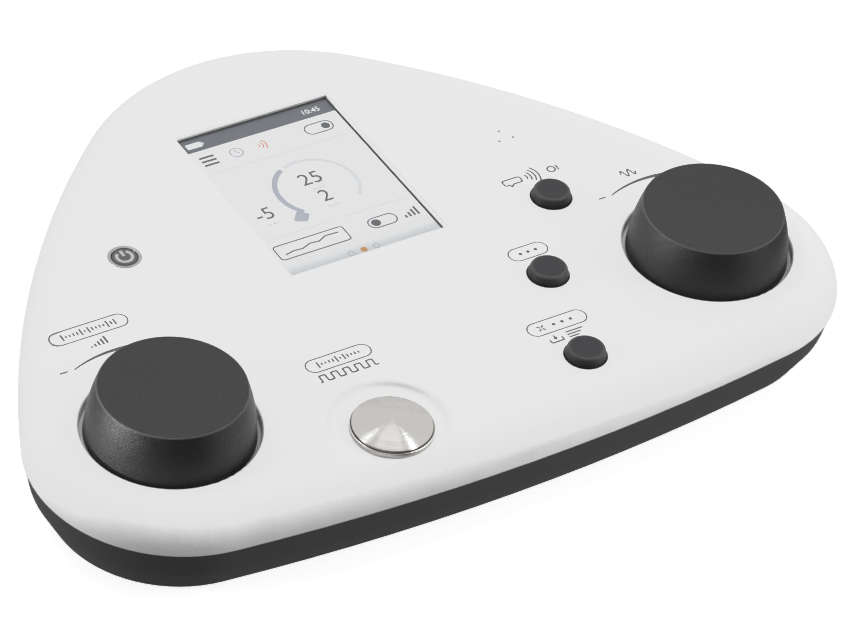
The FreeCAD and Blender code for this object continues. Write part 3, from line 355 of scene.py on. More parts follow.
@dataclass(frozen=True)
class PaintedLightPlastic(MouldedPlastic):
    """Moulded plastic with a painted highlight along a turned piece's upper edge and painted shade
    towards its foot.

    Args:
        centre: the piece's axis in millimetres.
        rim: radius and height at which the painted highlight line begins.
        soft: half the width of the line's edges in millimetres.
        highlight_tone: linear colour of the painted highlight line.
        foot: heights between which the painted shade at the foot ends.
        foot_shade: linear colour of the painted shade at the foot.
    """

    centre: Point = (0.0, 0.0)
    rim: Point = (19.45, 41.2)
    soft: float = 0.1
    highlight_tone: Colour = (0.07, 0.07, 0.07)
    foot: Point = (25.6, 28.4)
    foot_shade: Colour = (0.002, 0.002, 0.002)

    def painted_light(self, surface: Surface, tone: Value) -> Value:
        """Lays the painted highlight line and the painted foot shade over the tone."""
        _, _, height = surface.split(surface.place)
        radius, level = self.rim
        above = surface.ramp(height, level - 1.5 * self.soft, level + self.soft)
        outside = surface.ramp(surface.radius(self.centre), radius - self.soft, radius + self.soft)
        # a patchy painted highlight line along the upper edge
        highlight_share = above * outside * (0.55 + 0.45 * surface.noise(7.0))
        highlit = surface.blend(highlight_share, tone, self.highlight_tone)
        # painted shade towards the foot, below the painted highlight
        return surface.blend(surface.ramp(height, *self.foot), self.foot_shade, highlit)


@dataclass(frozen=True)
class DishedPlastic(MouldedPlastic):
    """Moulded plastic with one soft step round a dish that runs out towards the front.

    Args:
        centre: middle of the dish in millimetres.
        step: radii between which the surface rises.
        fade: places along Y between which the dish runs out.
        rise: height of the step in millimetres.
    """

    centre: Point = (-33.05, -71.3)
    step: Point = (14.4, 17.3)
    fade: Point = (-84.0, -70.0)
    rise: float = 1.15

    def form(self, surface: Surface) -> Value | None:
        """Bends the surface at the dish's edge."""
        _, y, _ = surface.split(surface.place)
        around = surface.ramp(surface.radius(self.centre), *self.step)
        inside = (1 - around) * surface.ramp(y, *self.fade)
        return surface.relief(1 - inside, self.rise)


@dataclass(frozen=True)
class SpunSteel:
    """Steel brushed in circles about an upright axis.

    Args:
        name: name of the material.
        centre: the axis in millimetres.
        tone: linear colour.
        roughness: mean roughness.
        groove: width of a brush line in millimetres.
        depth: depth of a brush line in millimetres.
    """

    name: str
    centre: Point
    tone: Colour = (0.45, 0.442, 0.427)
    roughness: float = 0.09
    groove: float = 0.16
    depth: float = 0.022

    def make(self) -> bpy.types.Material:
        """Builds the material."""
        surface = Surface(self.name)
        radius = surface.radius(self.centre)
        lines = surface.value("ShaderNodeTexNoise", {"noise_dimensions": "1D"}, {
            "W": radius, "Scale": 1 / (self.groove * MM), "Detail": 3.0})
        smudge = surface.noise(3.0)
        tone = surface.blend(lines, shade(self.tone, 0.9), shade(self.tone, 1.08))
        return surface.finish({
            "Base Color": tone,
            "Metallic": 1.0,
            "Roughness": self.roughness + 0.04 * smudge + 0.04 * lines,
            "Normal": surface.value("ShaderNodeBump", {}, {
                "Height": 0.6 * radius.wave(self.groove * MM) + 0.4 * lines,
                "Distance": self.depth * MM, "Filter Width": 0.015}),
        })


@dataclass(frozen=True)
class PlainMetal:
    """Plated, turned or stamped metal.

    Args:
        name: name of the material.
        tone: linear colour.
        roughness: mean roughness.
        wear: size of the smudges in millimetres.
    """

    name: str
    tone: Colour
    roughness: float = 0.3
    wear: float = 2.0

    def make(self) -> bpy.types.Material:
        """Builds the material."""
        surface = Surface(self.name)
        smudge = surface.noise(self.wear, 4.0)
        fine = surface.noise(self.wear / 12)
        return surface.finish({
            "Base Color": surface.blend(smudge, shade(self.tone, 0.94), shade(self.tone, 1.03)),
            "Metallic": 1.0,
            "Roughness": self.roughness - 0.03 + 0.06 * smudge,
            "Normal": surface.relief(fine, 0.003),
        })


@dataclass(frozen=True)
class PrintedInk:
    """Pad-printed ink, a little thinner in places.

    Args:
        name: name of the material.
        tone: linear colour.
        under: colour that shows through where the ink is thin.
    """

    name: str
    tone: Colour
    under: Colour

    def make(self) -> bpy.types.Material:
        """Builds the material."""
        surface = Surface(self.name)
        thin = surface.noise(0.35, 3.0) ** 3.0
        return surface.finish({
            "Base Color": surface.blend(0.3 * thin, self.tone, self.under),
            "Roughness": 0.5 + 0.1 * thin,
            "Normal": surface.relief(thin, 0.004),
        })


@dataclass(frozen=True)
class LitPicture:
    """A colour of the display's picture, with the panel's fine pixel grid.

    Args:
        name: name of the material.
        tone: linear colour of the lit surface.
        foot: linear colour at the picture's lower end.
        fade: heights on the picture between which the foot ends, in millimetres.
        pixel: pitch of the grid in millimetres.
        grid: share of the light that the grid takes away.
    """

    name: str
    tone: Colour
    foot: Colour | None = None
    fade: Point = (-9.0, 2.5)
    pixel: float = 0.2
    grid: float = 0.06

    def make(self) -> bpy.types.Material:
        """Builds the material."""
        surface = Surface(self.name)
        x, y, _ = surface.split(surface.place)
        glow = surface.noise(30.0)
        even = surface.blend(surface.ramp(y, *self.fade), self.foot or self.tone, self.tone)
        lines = 1 - x.wave(self.pixel * MM) * y.wave(self.pixel * MM)
        return surface.finish({
            "Base Color": surface.blend(glow, (0.012, 0.013, 0.015), (0.018, 0.019, 0.021)),
            "Roughness": 0.35 + 0.05 * glow,
            "Specular IOR Level": 0.1,
            "Emission Color": surface.blend(self.grid * lines + 0.03 * glow, even, (0.0, 0.0, 0.0)),
            "Emission Strength": 1.0,
        })


@dataclass(frozen=True)
class ClearSheet:
    """The clear window over the display.

    Args:
        name: name of the material.
        cover: share of the surface that isn't clear.
    """

    name: str
    cover: float = 0.06

    def make(self) -> bpy.types.Material:
        """Builds the material."""
        surface = Surface(self.name)
        smear = surface.noise(9.0, 3.0)
        return surface.finish({
            "Base Color": surface.blend(smear, (0.62, 0.64, 0.66), (0.72, 0.74, 0.76)),
            "Roughness": 0.05 + 0.05 * smear,
            "Alpha": self.cover + 0.02 * smear,
        })


@dataclass(frozen=True)
class BoardLaminate:
    """Circuit board with tracks under a coloured mask.

    Args:
        name: name of the material.
        mask: colour between the tracks.
        track: colour over the tracks.
        pitch: spacing of the tracks in millimetres.
    """

    name: str
    mask: Colour = (0.005, 0.075, 0.03)
    track: Colour = (0.012, 0.15, 0.06)
    pitch: float = 1.2

    def make(self) -> bpy.types.Material:
        """Builds the material."""
        surface = Surface(self.name)
        x, y, _ = surface.split(surface.place)
        zone = surface.noise(14.0, 0.0).above(0.5)
        tracks = zone * x.wave(self.pitch * MM) + (1 - zone) * y.wave(self.pitch * MM)
        copper = tracks.above(0.72)
        return surface.finish({
            "Base Color": surface.blend(copper, self.mask, self.track),
            "Roughness": 0.32 + 0.1 * surface.noise(5.0),
            "Normal": surface.relief(copper, 0.03),
        })


COVER_TONE: Colour = (0.80, 0.80, 0.80)
CHARCOAL: Colour = (0.036, 0.037, 0.039)
INK_TONE: Colour = (0.055, 0.055, 0.058)

SLOT_FINISHES = {finish.name: finish for finish in (
    DishedPlastic("cover_plastic", COVER_TONE, depth=0.08, cloud=0.012),
    MouldedPlastic("shell_plastic", (0.075, 0.076, 0.078), 0.55, grain=0.5, depth=0.03),
    MouldedPlastic("knob_plastic", (0.0125, 0.0125, 0.013), 0.44, grain=0.46, depth=0.18, cloud=0.2,
                   level=0.37, spark=0.25),
    MouldedPlastic("button_plastic", (0.022, 0.023, 0.025), grain=0.3, depth=0.015, level=0.3),
    MouldedPlastic("inner_plastic", (0.03, 0.03, 0.032), 0.6, grain=0.5),
    MouldedPlastic("rubber", (0.022, 0.022, 0.023), 0.8, grain=0.25),
    PlainMetal("dome_steel", (0.62, 0.61, 0.59), 0.25),
    PlainMetal("screw_steel", (0.50, 0.50, 0.50)),
    PlainMetal("spring_steel", (0.55, 0.54, 0.52), 0.25),
    PlainMetal("fixing_steel", (0.60, 0.59, 0.56)),
    PlainMetal("brass", (0.72, 0.52, 0.22)),
    BoardLaminate("circuit_board"),
    MouldedPlastic("chip_epoxy", (0.018, 0.018, 0.02), 0.6, grain=0.15, depth=0.01),
    PlainMetal("tinned_sheet", (0.68, 0.68, 0.67), 0.35, wear=6.0),
    ClearSheet("lens"),
    MouldedPlastic("display", (0.012, 0.012, 0.014), 0.3, grain=0.8, depth=0.002),
    MouldedPlastic("ribbon_film", (0.36, 0.17, 0.05), 0.35, grain=1.0, depth=0.005),
    MouldedPlastic("connector_plastic", (0.62, 0.58, 0.48), 0.45),
    MouldedPlastic("component_plastic", (0.02, 0.02, 0.022), 0.45),
    MouldedPlastic("plunger_plastic", (0.55, 0.53, 0.50), 0.45),
    PlainMetal("capsule_metal", (0.70, 0.70, 0.69), 0.3),
    MouldedPlastic("socket_plastic", (0.016, 0.016, 0.018), 0.4),
    PlainMetal("socket_metal", (0.66, 0.66, 0.65), 0.28, wear=3.0),
    MouldedPlastic("battery_wrap", (0.03, 0.10, 0.26), 0.3, grain=2.0, depth=0.01),
    MouldedPlastic("wire_insulation", (0.30, 0.012, 0.01), 0.4, grain=0.6),
)}


# ---------------------------------------------------------------- mesh work
class Joining(Enum):
    """What becomes of the two ends of an outline."""

    OPEN = "open"
    CLOSED = "closed"


def joined(count: int, joining: Joining, start: int = 0) -> list[tuple[int, int]]:
    """The edges that join numbered points in order.

    Args:
        count: number of points.
        joining: whether the last one meets the first.
        start: number of the first point.

    Returns:
        Pairs of points.
    """
    last = count if joining is Joining.CLOSED else count - 1
    return [(start + k, start + (k + 1) % count) for k in range(last)]


def arc(centre: Point, radius: float, start: float, end: float, steps: int) -> list[Point]:
    """Points along an arc.

    Args:
        centre: middle of the arc.
        radius: its radius.
        start: first angle in degrees.
        end: last angle in degrees.
        steps: number of chords.

    Returns:
        The points, both ends included.
    """
    angles = (math.radians(start + (end - start) * step / steps) for step in range(steps + 1))
    return [(centre[0] + radius * math.cos(a), centre[1] + radius * math.sin(a)) for a in angles]


def rounded(corners: Sequence[tuple[float, float, float]], steps: int = 7,
            joining: Joining = Joining.OPEN) -> list[Point]:
    """Rounds the corners of an outline.

    Args:
        corners: two coordinates and a corner radius for each point.
        steps: chords in each rounded corner.
        joining: whether the outline's ends meet.

    Returns:
        The points of the rounded outline.
    """
    points: list[Point] = []
    count = len(corners)
    for index, (x, y, radius) in enumerate(corners):
        at_end = joining is Joining.OPEN and index in (0, count - 1)
        if radius <= 0 or at_end:
            points.append((x, y))
            continue
        here = Vector((x, y))
        back = (Vector(corners[index - 1][:2]) - here).normalized()
        ahead = (Vector(corners[(index + 1) % count][:2]) - here).normalized()
        half = back.angle(ahead) / 2
        middle = here + (back + ahead).normalized() * (radius / math.sin(half))
        first = here + back * (radius / math.tan(half)) - middle
        turn = first.angle_signed(here + ahead * (radius / math.tan(half)) - middle)
        for step in range(steps + 1):
            cos, sin = math.cos(-turn * step / steps), math.sin(-turn * step / steps)
            points.append((middle.x + cos * first.x - sin * first.y,
                           middle.y + sin * first.x + cos * first.y))
    return points


def bowl(radius: float, edge: float, depth: float, steps: int = 24) -> list[Point]:
    """A shallow dish or, with a negative depth, a dome, from its axis to its edge.

    Args:
        radius: radius of the edge.
        edge: height of the edge.
        depth: how far the middle lies below the edge.
        steps: rings.

    Returns:
        Radius and height of each ring, the edge left out.
    """
    return [(radius * k / steps, edge - depth * (1 - (k / steps) ** 2)) for k in range(steps)]


def merged(mesh: bpy.types.Mesh, angle: float = 32.0, turn_out: bool = True) -> bpy.types.Mesh:
    """Welds a mesh, points its faces outwards and smooths all but its sharp edges.

    Args:
        mesh: the mesh, changed in place.
        angle: edges that turn by more than this many degrees stay sharp.
        turn_out: whether the faces still have to be pointed outwards.

    Returns:
        The same mesh.
    """
    for name in ("custom_normal", "sharp_edge", "sharp_face"):
        if name in mesh.attributes:
            mesh.attributes.remove(mesh.attributes[name])
    work = bmesh.new()
    work.from_mesh(mesh)
    bmesh.ops.remove_doubles(work, verts=work.verts, dist=WELD)
    bmesh.ops.dissolve_degenerate(work, dist=WELD / 10, edges=work.edges)
    if turn_out:
        bmesh.ops.recalc_face_normals(work, faces=work.faces)
    work.to_mesh(mesh)
    work.free()
    mesh.shade_smooth()
    mesh.set_sharp_from_angle(angle=math.radians(angle))
    return mesh


def put(name: str, data: bpy.types.ID) -> bpy.types.Object:
    """Puts a new object that holds some data in the scene."""
    placed = bpy.data.objects.new(name, data)
    bpy.context.scene.collection.objects.link(placed)
    return placed


def realised(carrier: bpy.types.Object) -> bpy.types.Mesh:
    """The plain mesh that an object ends up as; the object itself goes."""
    graph = bpy.context.evaluated_depsgraph_get()
    mesh = bpy.data.meshes.new_from_object(carrier.evaluated_get(graph))
    bpy.data.objects.remove(carrier)
    return mesh


def piece(name: str, mesh: bpy.types.Mesh, material: bpy.types.Material, slot: str, body: str,
          *nodes: str) -> bpy.types.Object:
    """Puts a finished mesh in the scene, on its body and in place of its nodes.

    Args:
        name: name of the piece.
        mesh: its mesh, in place.
        material: its finish.
        slot: the record's slot for that finish; not used.
        body: the body that it rides on.
        nodes: the frame's nodes that it stands for.

    Returns:
        The new object.
    """
    shown = put(name, mesh)
    mesh.name = name
    mesh.materials.clear()
    mesh.materials.append(material)
    shown.modifiers.new("normals", "WEIGHTED_NORMAL").keep_sharp = True
    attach(shown, body)
    if nodes:
        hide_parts(*nodes)
    LOG.info("%s: %d faces on %s", name, len(mesh.polygons), body)
    return shown


class NodeTool(Graph):
    """A Geometry Nodes tree that turns a drawn mesh into a finished one.

    Args:
        name: name of the tree.
        inputs: socket type of each named input.
    """

    def __init__(self, name: str, inputs: dict[str, str]) -> None:
        """Makes the tree's inputs and output."""
        super().__init__(bpy.data.node_groups.new(name, "GeometryNodeTree"))
        face = self.tree.interface
        face.new_socket(name="Drawing", in_out="INPUT", socket_type="NodeSocketGeometry")
        self.keys = {
            label: face.new_socket(name=label, in_out="INPUT", socket_type=kind).identifier
            for label, kind in {**inputs, "Finish": "NodeSocketMaterial"}.items()
        }
        face.new_socket(name="Result", in_out="OUTPUT", socket_type="NodeSocketGeometry")
        self.given = self.tree.nodes.new("NodeGroupInput").outputs

    def close(self, result: bpy.types.NodeSocket) -> None:
        """Ends the tree with real geometry that carries its finish.

        Args:
            result: the geometry to give out.
        """
        real = self.node("GeometryNodeRealizeInstances", {}, {0: result})
        dressed = self.node("GeometryNodeSetMaterial", {}, {
            "Geometry": real.outputs[0], "Material": self.given["Finish"]})
        self.node("NodeGroupOutput", {}, {0: dressed.outputs[0]})

    def apply(self, drawing: bpy.types.Mesh, **values: object) -> bpy.types.Mesh:
        """Runs the tree on a drawing and gives a plain mesh.

        Args:
            drawing: points and edges.
            values: the tree's inputs, with underscores for spaces.

        Returns:
            The new mesh.
        """
        carrier = put("carrier", drawing)
        modifier = carrier.modifiers.new("tool", "NODES")
        modifier.node_group = self.tree
        for label, value in values.items():
            modifier[self.keys[label.replace("_", " ")]] = value
        return realised(carrier)


class Lathe(NodeTool):
    """Turns an outline, drawn as radius and height, about an upright axis."""

    REACH = 0.1

    def __init__(self) -> None:
        """Builds the tree."""
        super().__init__("lathe", {
            "Segments": "NodeSocketInt",
            "Path Radius": "NodeSocketFloat",
            "Centre": "NodeSocketVector",
        })
        outline = self.node("GeometryNodeMeshToCurve", {}, {0: self.given["Drawing"]})
        circle = self.node("GeometryNodeCurvePrimitiveCircle", {"mode": "RADIUS"}, {
            "Resolution": self.given["Segments"], "Radius": self.given["Path Radius"]})
        level = self.node("GeometryNodeSetCurveNormal", {"mode": "Z_UP"}, {0: circle.outputs[0]})
        skin = self.node("GeometryNodeCurveToMesh", {}, {0: level.outputs[0], 1: outline.outputs[0]})
        poles = self.node("GeometryNodeMergeByDistance", {}, {0: skin.outputs[0], "Distance": WELD})
        placed = self.node("GeometryNodeTransform", {}, {
            0: poles.outputs[0], "Translation": self.given["Centre"]})
        self.close(placed.outputs[0])

    def turn(self, outline: Sequence[Point], centre: Point, finish: bpy.types.Material,
             joining: Joining = Joining.OPEN, segments: int = 192) -> bpy.types.Mesh:
        """Turns one outline.

        Args:
            outline: radius and height of each point in millimetres.
            centre: the axis in millimetres.
            finish: the material.
            joining: whether the outline's ends meet.
            segments: steps round the axis.

        Returns:
            A welded, smoothed mesh.
        """
        drawing = bpy.data.meshes.new("outline")
        points = [(radius * MM - self.REACH, -height * MM, 0) for radius, height in outline]
        drawing.from_pydata(points, joined(len(outline), joining), [])
        return merged(self.apply(drawing, Segments=segments, Path_Radius=self.REACH, Finish=finish,
                                 Centre=(centre[0] * MM, centre[1] * MM, 0.0)))


class MarkPress(NodeTool):
    """Makes raised marks from drawn lines, which carry a width, and from filled outlines."""

    def __init__(self) -> None:
        """Builds the tree."""
        super().__init__("mark_press", {"Thickness": "NodeSocketFloat", "Level": "NodeSocketVector"})
        drawing = self.given["Drawing"]
        filled, width = (
            self.node("GeometryNodeInputNamedAttribute", {"data_type": kind}, {"Name": name})
            for name, kind in (("filled", "BOOLEAN"), ("width", "FLOAT")))
        stroked = self.node("FunctionNodeBooleanMath", {"operation": "NOT"}, {0: filled.outputs[0]})
        paths = self.node("GeometryNodeMeshToCurve", {}, {0: drawing, "Selection": stroked.outputs[0]})
        level = self.node("GeometryNodeSetCurveNormal", {"mode": "Z_UP"}, {0: paths.outputs[0]})
        nib = self.node("GeometryNodeCurvePrimitiveLine", {"mode": "POINTS"}, {
            "Start": (0.5, 0, 0), "End": (-0.5, 0, 0)})
        strokes = self.node("GeometryNodeCurveToMesh", {}, {
            0: level.outputs[0], 1: nib.outputs[0], "Scale": width.outputs[0]})
        outlines = self.node("GeometryNodeMeshToCurve", {}, {0: drawing, "Selection": filled.outputs[0]})
        fills = self.node("GeometryNodeFillCurve", {"mode": "NGONS"}, {0: outlines.outputs[0]})
        sheet = self.node("GeometryNodeJoinGeometry", {}, {0: [strokes.outputs[0], fills.outputs[0]]})
        up = self.node("ShaderNodeCombineXYZ", {}, {"Z": 1.0})
        raised = self.node("GeometryNodeExtrudeMesh", {"mode": "FACES"}, {
            0: sheet.outputs[0], "Offset": up.outputs[0], "Offset Scale": self.given["Thickness"],
            "Individual": False})
        under = self.node("GeometryNodeFlipFaces", {}, {0: sheet.outputs[0]})
        solid = self.node("GeometryNodeJoinGeometry", {}, {0: [raised.outputs[0], under.outputs[0]]})
        welded = self.node("GeometryNodeMergeByDistance", {}, {0: solid.outputs[0], "Distance": WELD})
        placed = self.node("GeometryNodeTransform", {}, {
            0: welded.outputs[0], "Translation": self.given["Level"]})
        self.close(placed.outputs[0])


LATHE = Lathe()
MARK_PRESS = MarkPress()


def tile(low: Point, high: Point, radius: float) -> list[Point]:
    """The outline of a rounded rectangle.

    Args:
        low: lower left corner.
        high: upper right corner.
        radius: rounding of its corners.

    Returns:
        The points of the outline.
    """
    corners = [(low[0], low[1]), (high[0], low[1]), (high[0], high[1]), (low[0], high[1])]
    return rounded([(x, y, radius) for x, y in corners], 10, Joining.CLOSED)


@dataclass
class Marks:
    """Lines, shapes and numbers of one colour on one level surface, in millimetres.

    Args:
        name: name of the piece.
        level: height of the underside.
        thickness: height of the marks.
        points: the drawing's points in metres.
        edges: pairs of points.
        widths: width of the line at each point in metres.
        filled: whether each point belongs to a filled shape.
        texts: meshes of the numbers.
    """

    name: str
    level: float
    thickness: float = 0.05
    points: list[Place] = field(default_factory=list)
    edges: list[tuple[int, int]] = field(default_factory=list)
    widths: list[float] = field(default_factory=list)
    filled: list[bool] = field(default_factory=list)
    texts: list[bpy.types.Mesh] = field(default_factory=list)

    def line(self, path: Sequence[Point], width: float, end_width: float | None = None,
             joining: Joining = Joining.OPEN, filled: bool = False) -> None:
        """Draws a line.

        Args:
            path: its points.
            width: width at its start.
            end_width: width at its end, if that differs.
            joining: whether its ends meet.
            filled: whether the line is the outline of a filled shape instead.
        """
        swell = 0.0 if end_width is None else (end_width - width) / (len(path) - 1)
        self.edges += joined(len(path), joining, len(self.points))
        self.points += [(x * MM, y * MM, 0.0) for x, y in path]
        self.widths += [(width + swell * k) * MM for k in range(len(path))]
        self.filled += [filled] * len(path)

    def outline(self, path: Sequence[Point], width: float) -> None:
        """Draws a line whose ends meet."""
        self.line(path, width, joining=Joining.CLOSED)

    def fill(self, path: Sequence[Point]) -> None:
        """Fills a closed outline."""
        self.line(path, 0.0, joining=Joining.CLOSED, filled=True)

    def disc(self, centre: Point, radius: float) -> None:
        """Fills a circle."""
        self.fill(arc(centre, radius, 0, 360, 40)[:-1])

    def circle(self, centre: Point, radius: float, width: float) -> None:
        """Draws a circle."""
        self.outline(arc(centre, radius, 0, 360, 48)[:-1], width)

    def fan(self, centre: Point, radii: Sequence[float], spread: float, steps: int,
            width: float) -> None:
        """Draws arcs that open to the right, the sign of a sound.

        Args:
            centre: where they spread from.
            radii: radius of each arc.
            spread: half the angle of an arc in degrees.
            steps: chords in an arc.
            width: width of a line.
        """
        for radius in radii:
            self.line(arc(centre, radius, -spread, spread, steps), width)

    def stairs(self, start: Point, pitch: float, heights: Sequence[float], width: float) -> None:
        """Draws a row of upright bars, the sign of a level.

        Args:
            start: foot of the first bar.
            pitch: spacing of the bars.
            heights: height of each bar.
            width: width of a bar.
        """
        for k, height in enumerate(heights):
            x = start[0] + pitch * k
            self.line([(x, start[1]), (x, start[1] + height)], width)

    def numerals(self, text: str, centre: Point, height: float, weight: float) -> None:
        """Writes plain numbers.

        Args:
            text: the figures.
            centre: middle of the text.
            height: height of a figure.
            weight: how far the strokes are thickened, as a share of the font's size.
        """
        font = bpy.data.curves.new(self.name, "FONT")
        font.body = text
        font.align_x, font.align_y = "CENTER", "CENTER"
        font.size = height / FIGURE_SHARE
        font.offset = weight
        font.extrude = self.thickness / 2
        font.resolution_u = 6
        mesh = realised(put("carrier", font))
        shift = Vector((*centre, self.level + self.thickness / 2))
        mesh.transform(Matrix.Scale(MM, 4) @ Matrix.Translation(shift))
        self.texts.append(mesh)

    def press(self, finish: bpy.types.Material) -> bpy.types.Mesh:
        """Makes the marks.

        Args:
            finish: their material.

        Returns:
            One closed, welded mesh.
        """
        drawing = bpy.data.meshes.new("drawing")
        drawing.from_pydata(self.points, self.edges, [])
        drawing.attributes.new("width", "FLOAT", "POINT").data.foreach_set("value", self.widths)
        drawing.attributes.new("filled", "BOOLEAN", "POINT").data.foreach_set("value", self.filled)
        mesh = MARK_PRESS.apply(drawing, Thickness=self.thickness * MM, Finish=finish,
                                Level=(0.0, 0.0, self.level * MM))
        work = bmesh.new()
        for part in [mesh, *self.texts]:
            work.from_mesh(part)
        work.to_mesh(mesh)
        work.free()
        return merged(mesh)


# ---------------------------------------------------------------- sub-assemblies
class Finishes:
    """The finishes of the record's slots, each made once."""

    def __init__(self) -> None:
        """Makes them all."""
        self.made = {slot: finish.make() for slot, finish in SLOT_FINISHES.items()}
        self.slots = {part["node"]: part["material_slot"] for part in frame["record"]["subparts"]}

    def of(self, node: str) -> bpy.types.Material:
        """The finish of a node of the frame."""
        return self.made[self.slots[node]]

    def dress(self, node: str) -> None:
        """Gives a node of the frame its finish."""
        slots = frame["nodes"][node].data.materials
        slots.clear()
        slots.append(self.of(node))

    def copy(self, node: str, name: str) -> bpy.types.Object:
        """A smoothed piece in the shape, the finish and the place of a node of the frame."""
        source = frame["nodes"][node]
        mesh = merged(source.data.copy(), turn_out=False)
        return piece(name, mesh, self.of(node), self.slots[node], source["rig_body"], node)


def middle(node: str) -> Point:
    """The middle of a node's box in millimetres, seen from above."""
    low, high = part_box(node)
    return (low.x + high.x) / 2 / MM, (low.y + high.y) / 2 / MM


@dataclass
class Housing:
    """The covers, feet, door, screws and sockets: merged copies of the frame's own shapes.

    Args:
        finishes: the finishes of the slots.
        nodes: the nodes that are copied, each with its piece's name.
    """

    finishes: Finishes
    nodes: dict[str, str] = field(default_factory=lambda: {
        "top_cover": "cover_moulding",
        "bottom_cover": "shell_moulding",
        "battery_door": "door_moulding",
        "rubber_feet": "foot_pads",
        "left_phone_socket": "left_phone_jack",
        "right_phone_socket": "right_phone_jack",
        "bone_socket": "bone_jack",
        "response_socket": "response_jack",
        "usb_socket": "charging_port",
        "case_screws": "case_screw_set",
        "battery_door_screw": "door_screw",
    })

    def build(self) -> None:
        """Makes every copy."""
        for node, name in self.nodes.items():
            self.finishes.copy(node, name)


@dataclass
class Dial:
    """A large turning knob with a dished top, in millimetres.

    Args:
        node: the frame's knob.
        body: the body that turns.
        finish: the knob's plastic.
        base_radius: radius at the foot.
        side: radius, height and rounding of the bend in the side.
        top_radius: radius at the top.
        base: height of the foot.
        top: height of the top.
        ceiling: height of the roof inside.
        rim: width of the rim round the dish.
        dish: depth of the dish.
        edge: rounding of the outer edges.
        wall: thickness of the side.
        collar: inner and outer radius of the hub's collar.
        collar_depth: how far the collar hangs down.
        seam: how far inside the rim the dish and the rounded rim meet.
    """

    node: str
    body: str
    finish: MouldedPlastic
    base_radius: float = 22.7
    side: tuple[float, float, float] = (21.75, 35.2, 42.0)
    top_radius: float = 19.7
    base: float = 25.5
    top: float = 41.5
    ceiling: float = 39.1
    rim: float = 0.6
    dish: float = 0.5
    edge: float = 0.35
    wall: float = 2.0
    collar: Point = (6.55, 8.55)
    collar_depth: float = 7.0
    seam: float = 1.0

    def outline(self) -> list[Point]:
        """Radius and height along the skin, from the middle of the top to the middle inside."""
        taper = (self.base_radius - self.top_radius) / (self.top - self.base)
        inner_top = self.top_radius + taper * (self.top - self.ceiling) - self.wall
        lip = self.top_radius - self.rim
        start = lip - self.seam
        inner, outer = self.collar
        foot = self.ceiling - self.collar_depth
        skirt = rounded([
            (start, self.top - self.dish * (1 - (start / lip) ** 2), 0),
            (lip, self.top, 0.12),
            (self.top_radius, self.top, self.edge),
            self.side,
            (self.base_radius, self.base, self.edge),
            (self.base_radius - self.wall, self.base, 0.2),
            (inner_top, self.ceiling, 0.6),
            (outer, self.ceiling, 0.4),
            (outer, foot, 0.2),
            (inner, foot, 0.2),
            (inner, self.ceiling, 0),
            (0.0, self.ceiling, 0),
        ])
        return [p for p in bowl(lip, self.top, self.dish, 28) if p[0] < start - 0.05] + skirt

    def build(self) -> None:
        """Turns the knob."""
        centre = middle(self.node)
        look = {**vars(self.finish), "name": self.node + "_plastic", "centre": centre}
        # painted highlight along the knob's top edge and painted shade at its foot, where it sits in the
        # well
        plastic = PaintedLightPlastic(**look).make()
        mesh = LATHE.turn(self.outline(), centre, plastic)
        piece(self.node + "_skin", mesh, plastic, self.finish.name, self.body, self.node)


@dataclass
class PushButton:
    """A small round button with a soft edge, in millimetres.

    Args:
        node: the frame's button.
        body: the body that is pressed.
        finish: the button's plastic.
        stem_radius: radius of the stem under it.
        radius: radius of its side.
        top_radius: radius of its top.
        flange_radius: radius of the flange that keeps it in the cover.
        flange: height of the flange's lower and upper face.
        shoulder: height at which the side starts to draw in.
        top: height of its top.
        edge: rounding of its top.
    """

    node: str
    body: str
    finish: MouldedPlastic
    stem_radius: float = 2.6
    radius: float = 5.7
    top_radius: float = 5.1
    flange_radius: float = 6.9
    flange: Point = FLANGE
    shoulder: float = 28.5
    top: float = 30.9
    edge: float = 0.8

    def build(self) -> None:
        """Turns the button."""
        low, high = self.flange
        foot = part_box(self.node)[0].z / MM
        outline = rounded([
            (0.0, self.top, 0),
            (self.top_radius, self.top, self.edge),
            (self.radius, self.shoulder, 0.5),
            (self.radius, high, 0),
            (self.flange_radius, high, 0.15),
            (self.flange_radius, low, 0.15),
            (self.stem_radius, low, 0),
            (self.stem_radius, foot, 0),
            (0.0, foot, 0),
        ])
        centre = middle(self.node)
        look = {**vars(self.finish), "name": self.node + "_plastic", "centre": centre}
        # painted highlight along the cap's top edge and painted shade over its side and foot
        plastic = PaintedLightPlastic(
            **look, rim=(self.top_radius - 0.75, self.top - 0.42), soft=0.2,
            highlight_tone=(0.06, 0.06, 0.062), foot=(self.top - 2.6, self.top - 0.5)).make()
        mesh = LATHE.turn(outline, centre, plastic, segments=SMALL_TURN)
        piece(self.node + "_cap", mesh, plastic, self.finish.name, self.body, self.node)


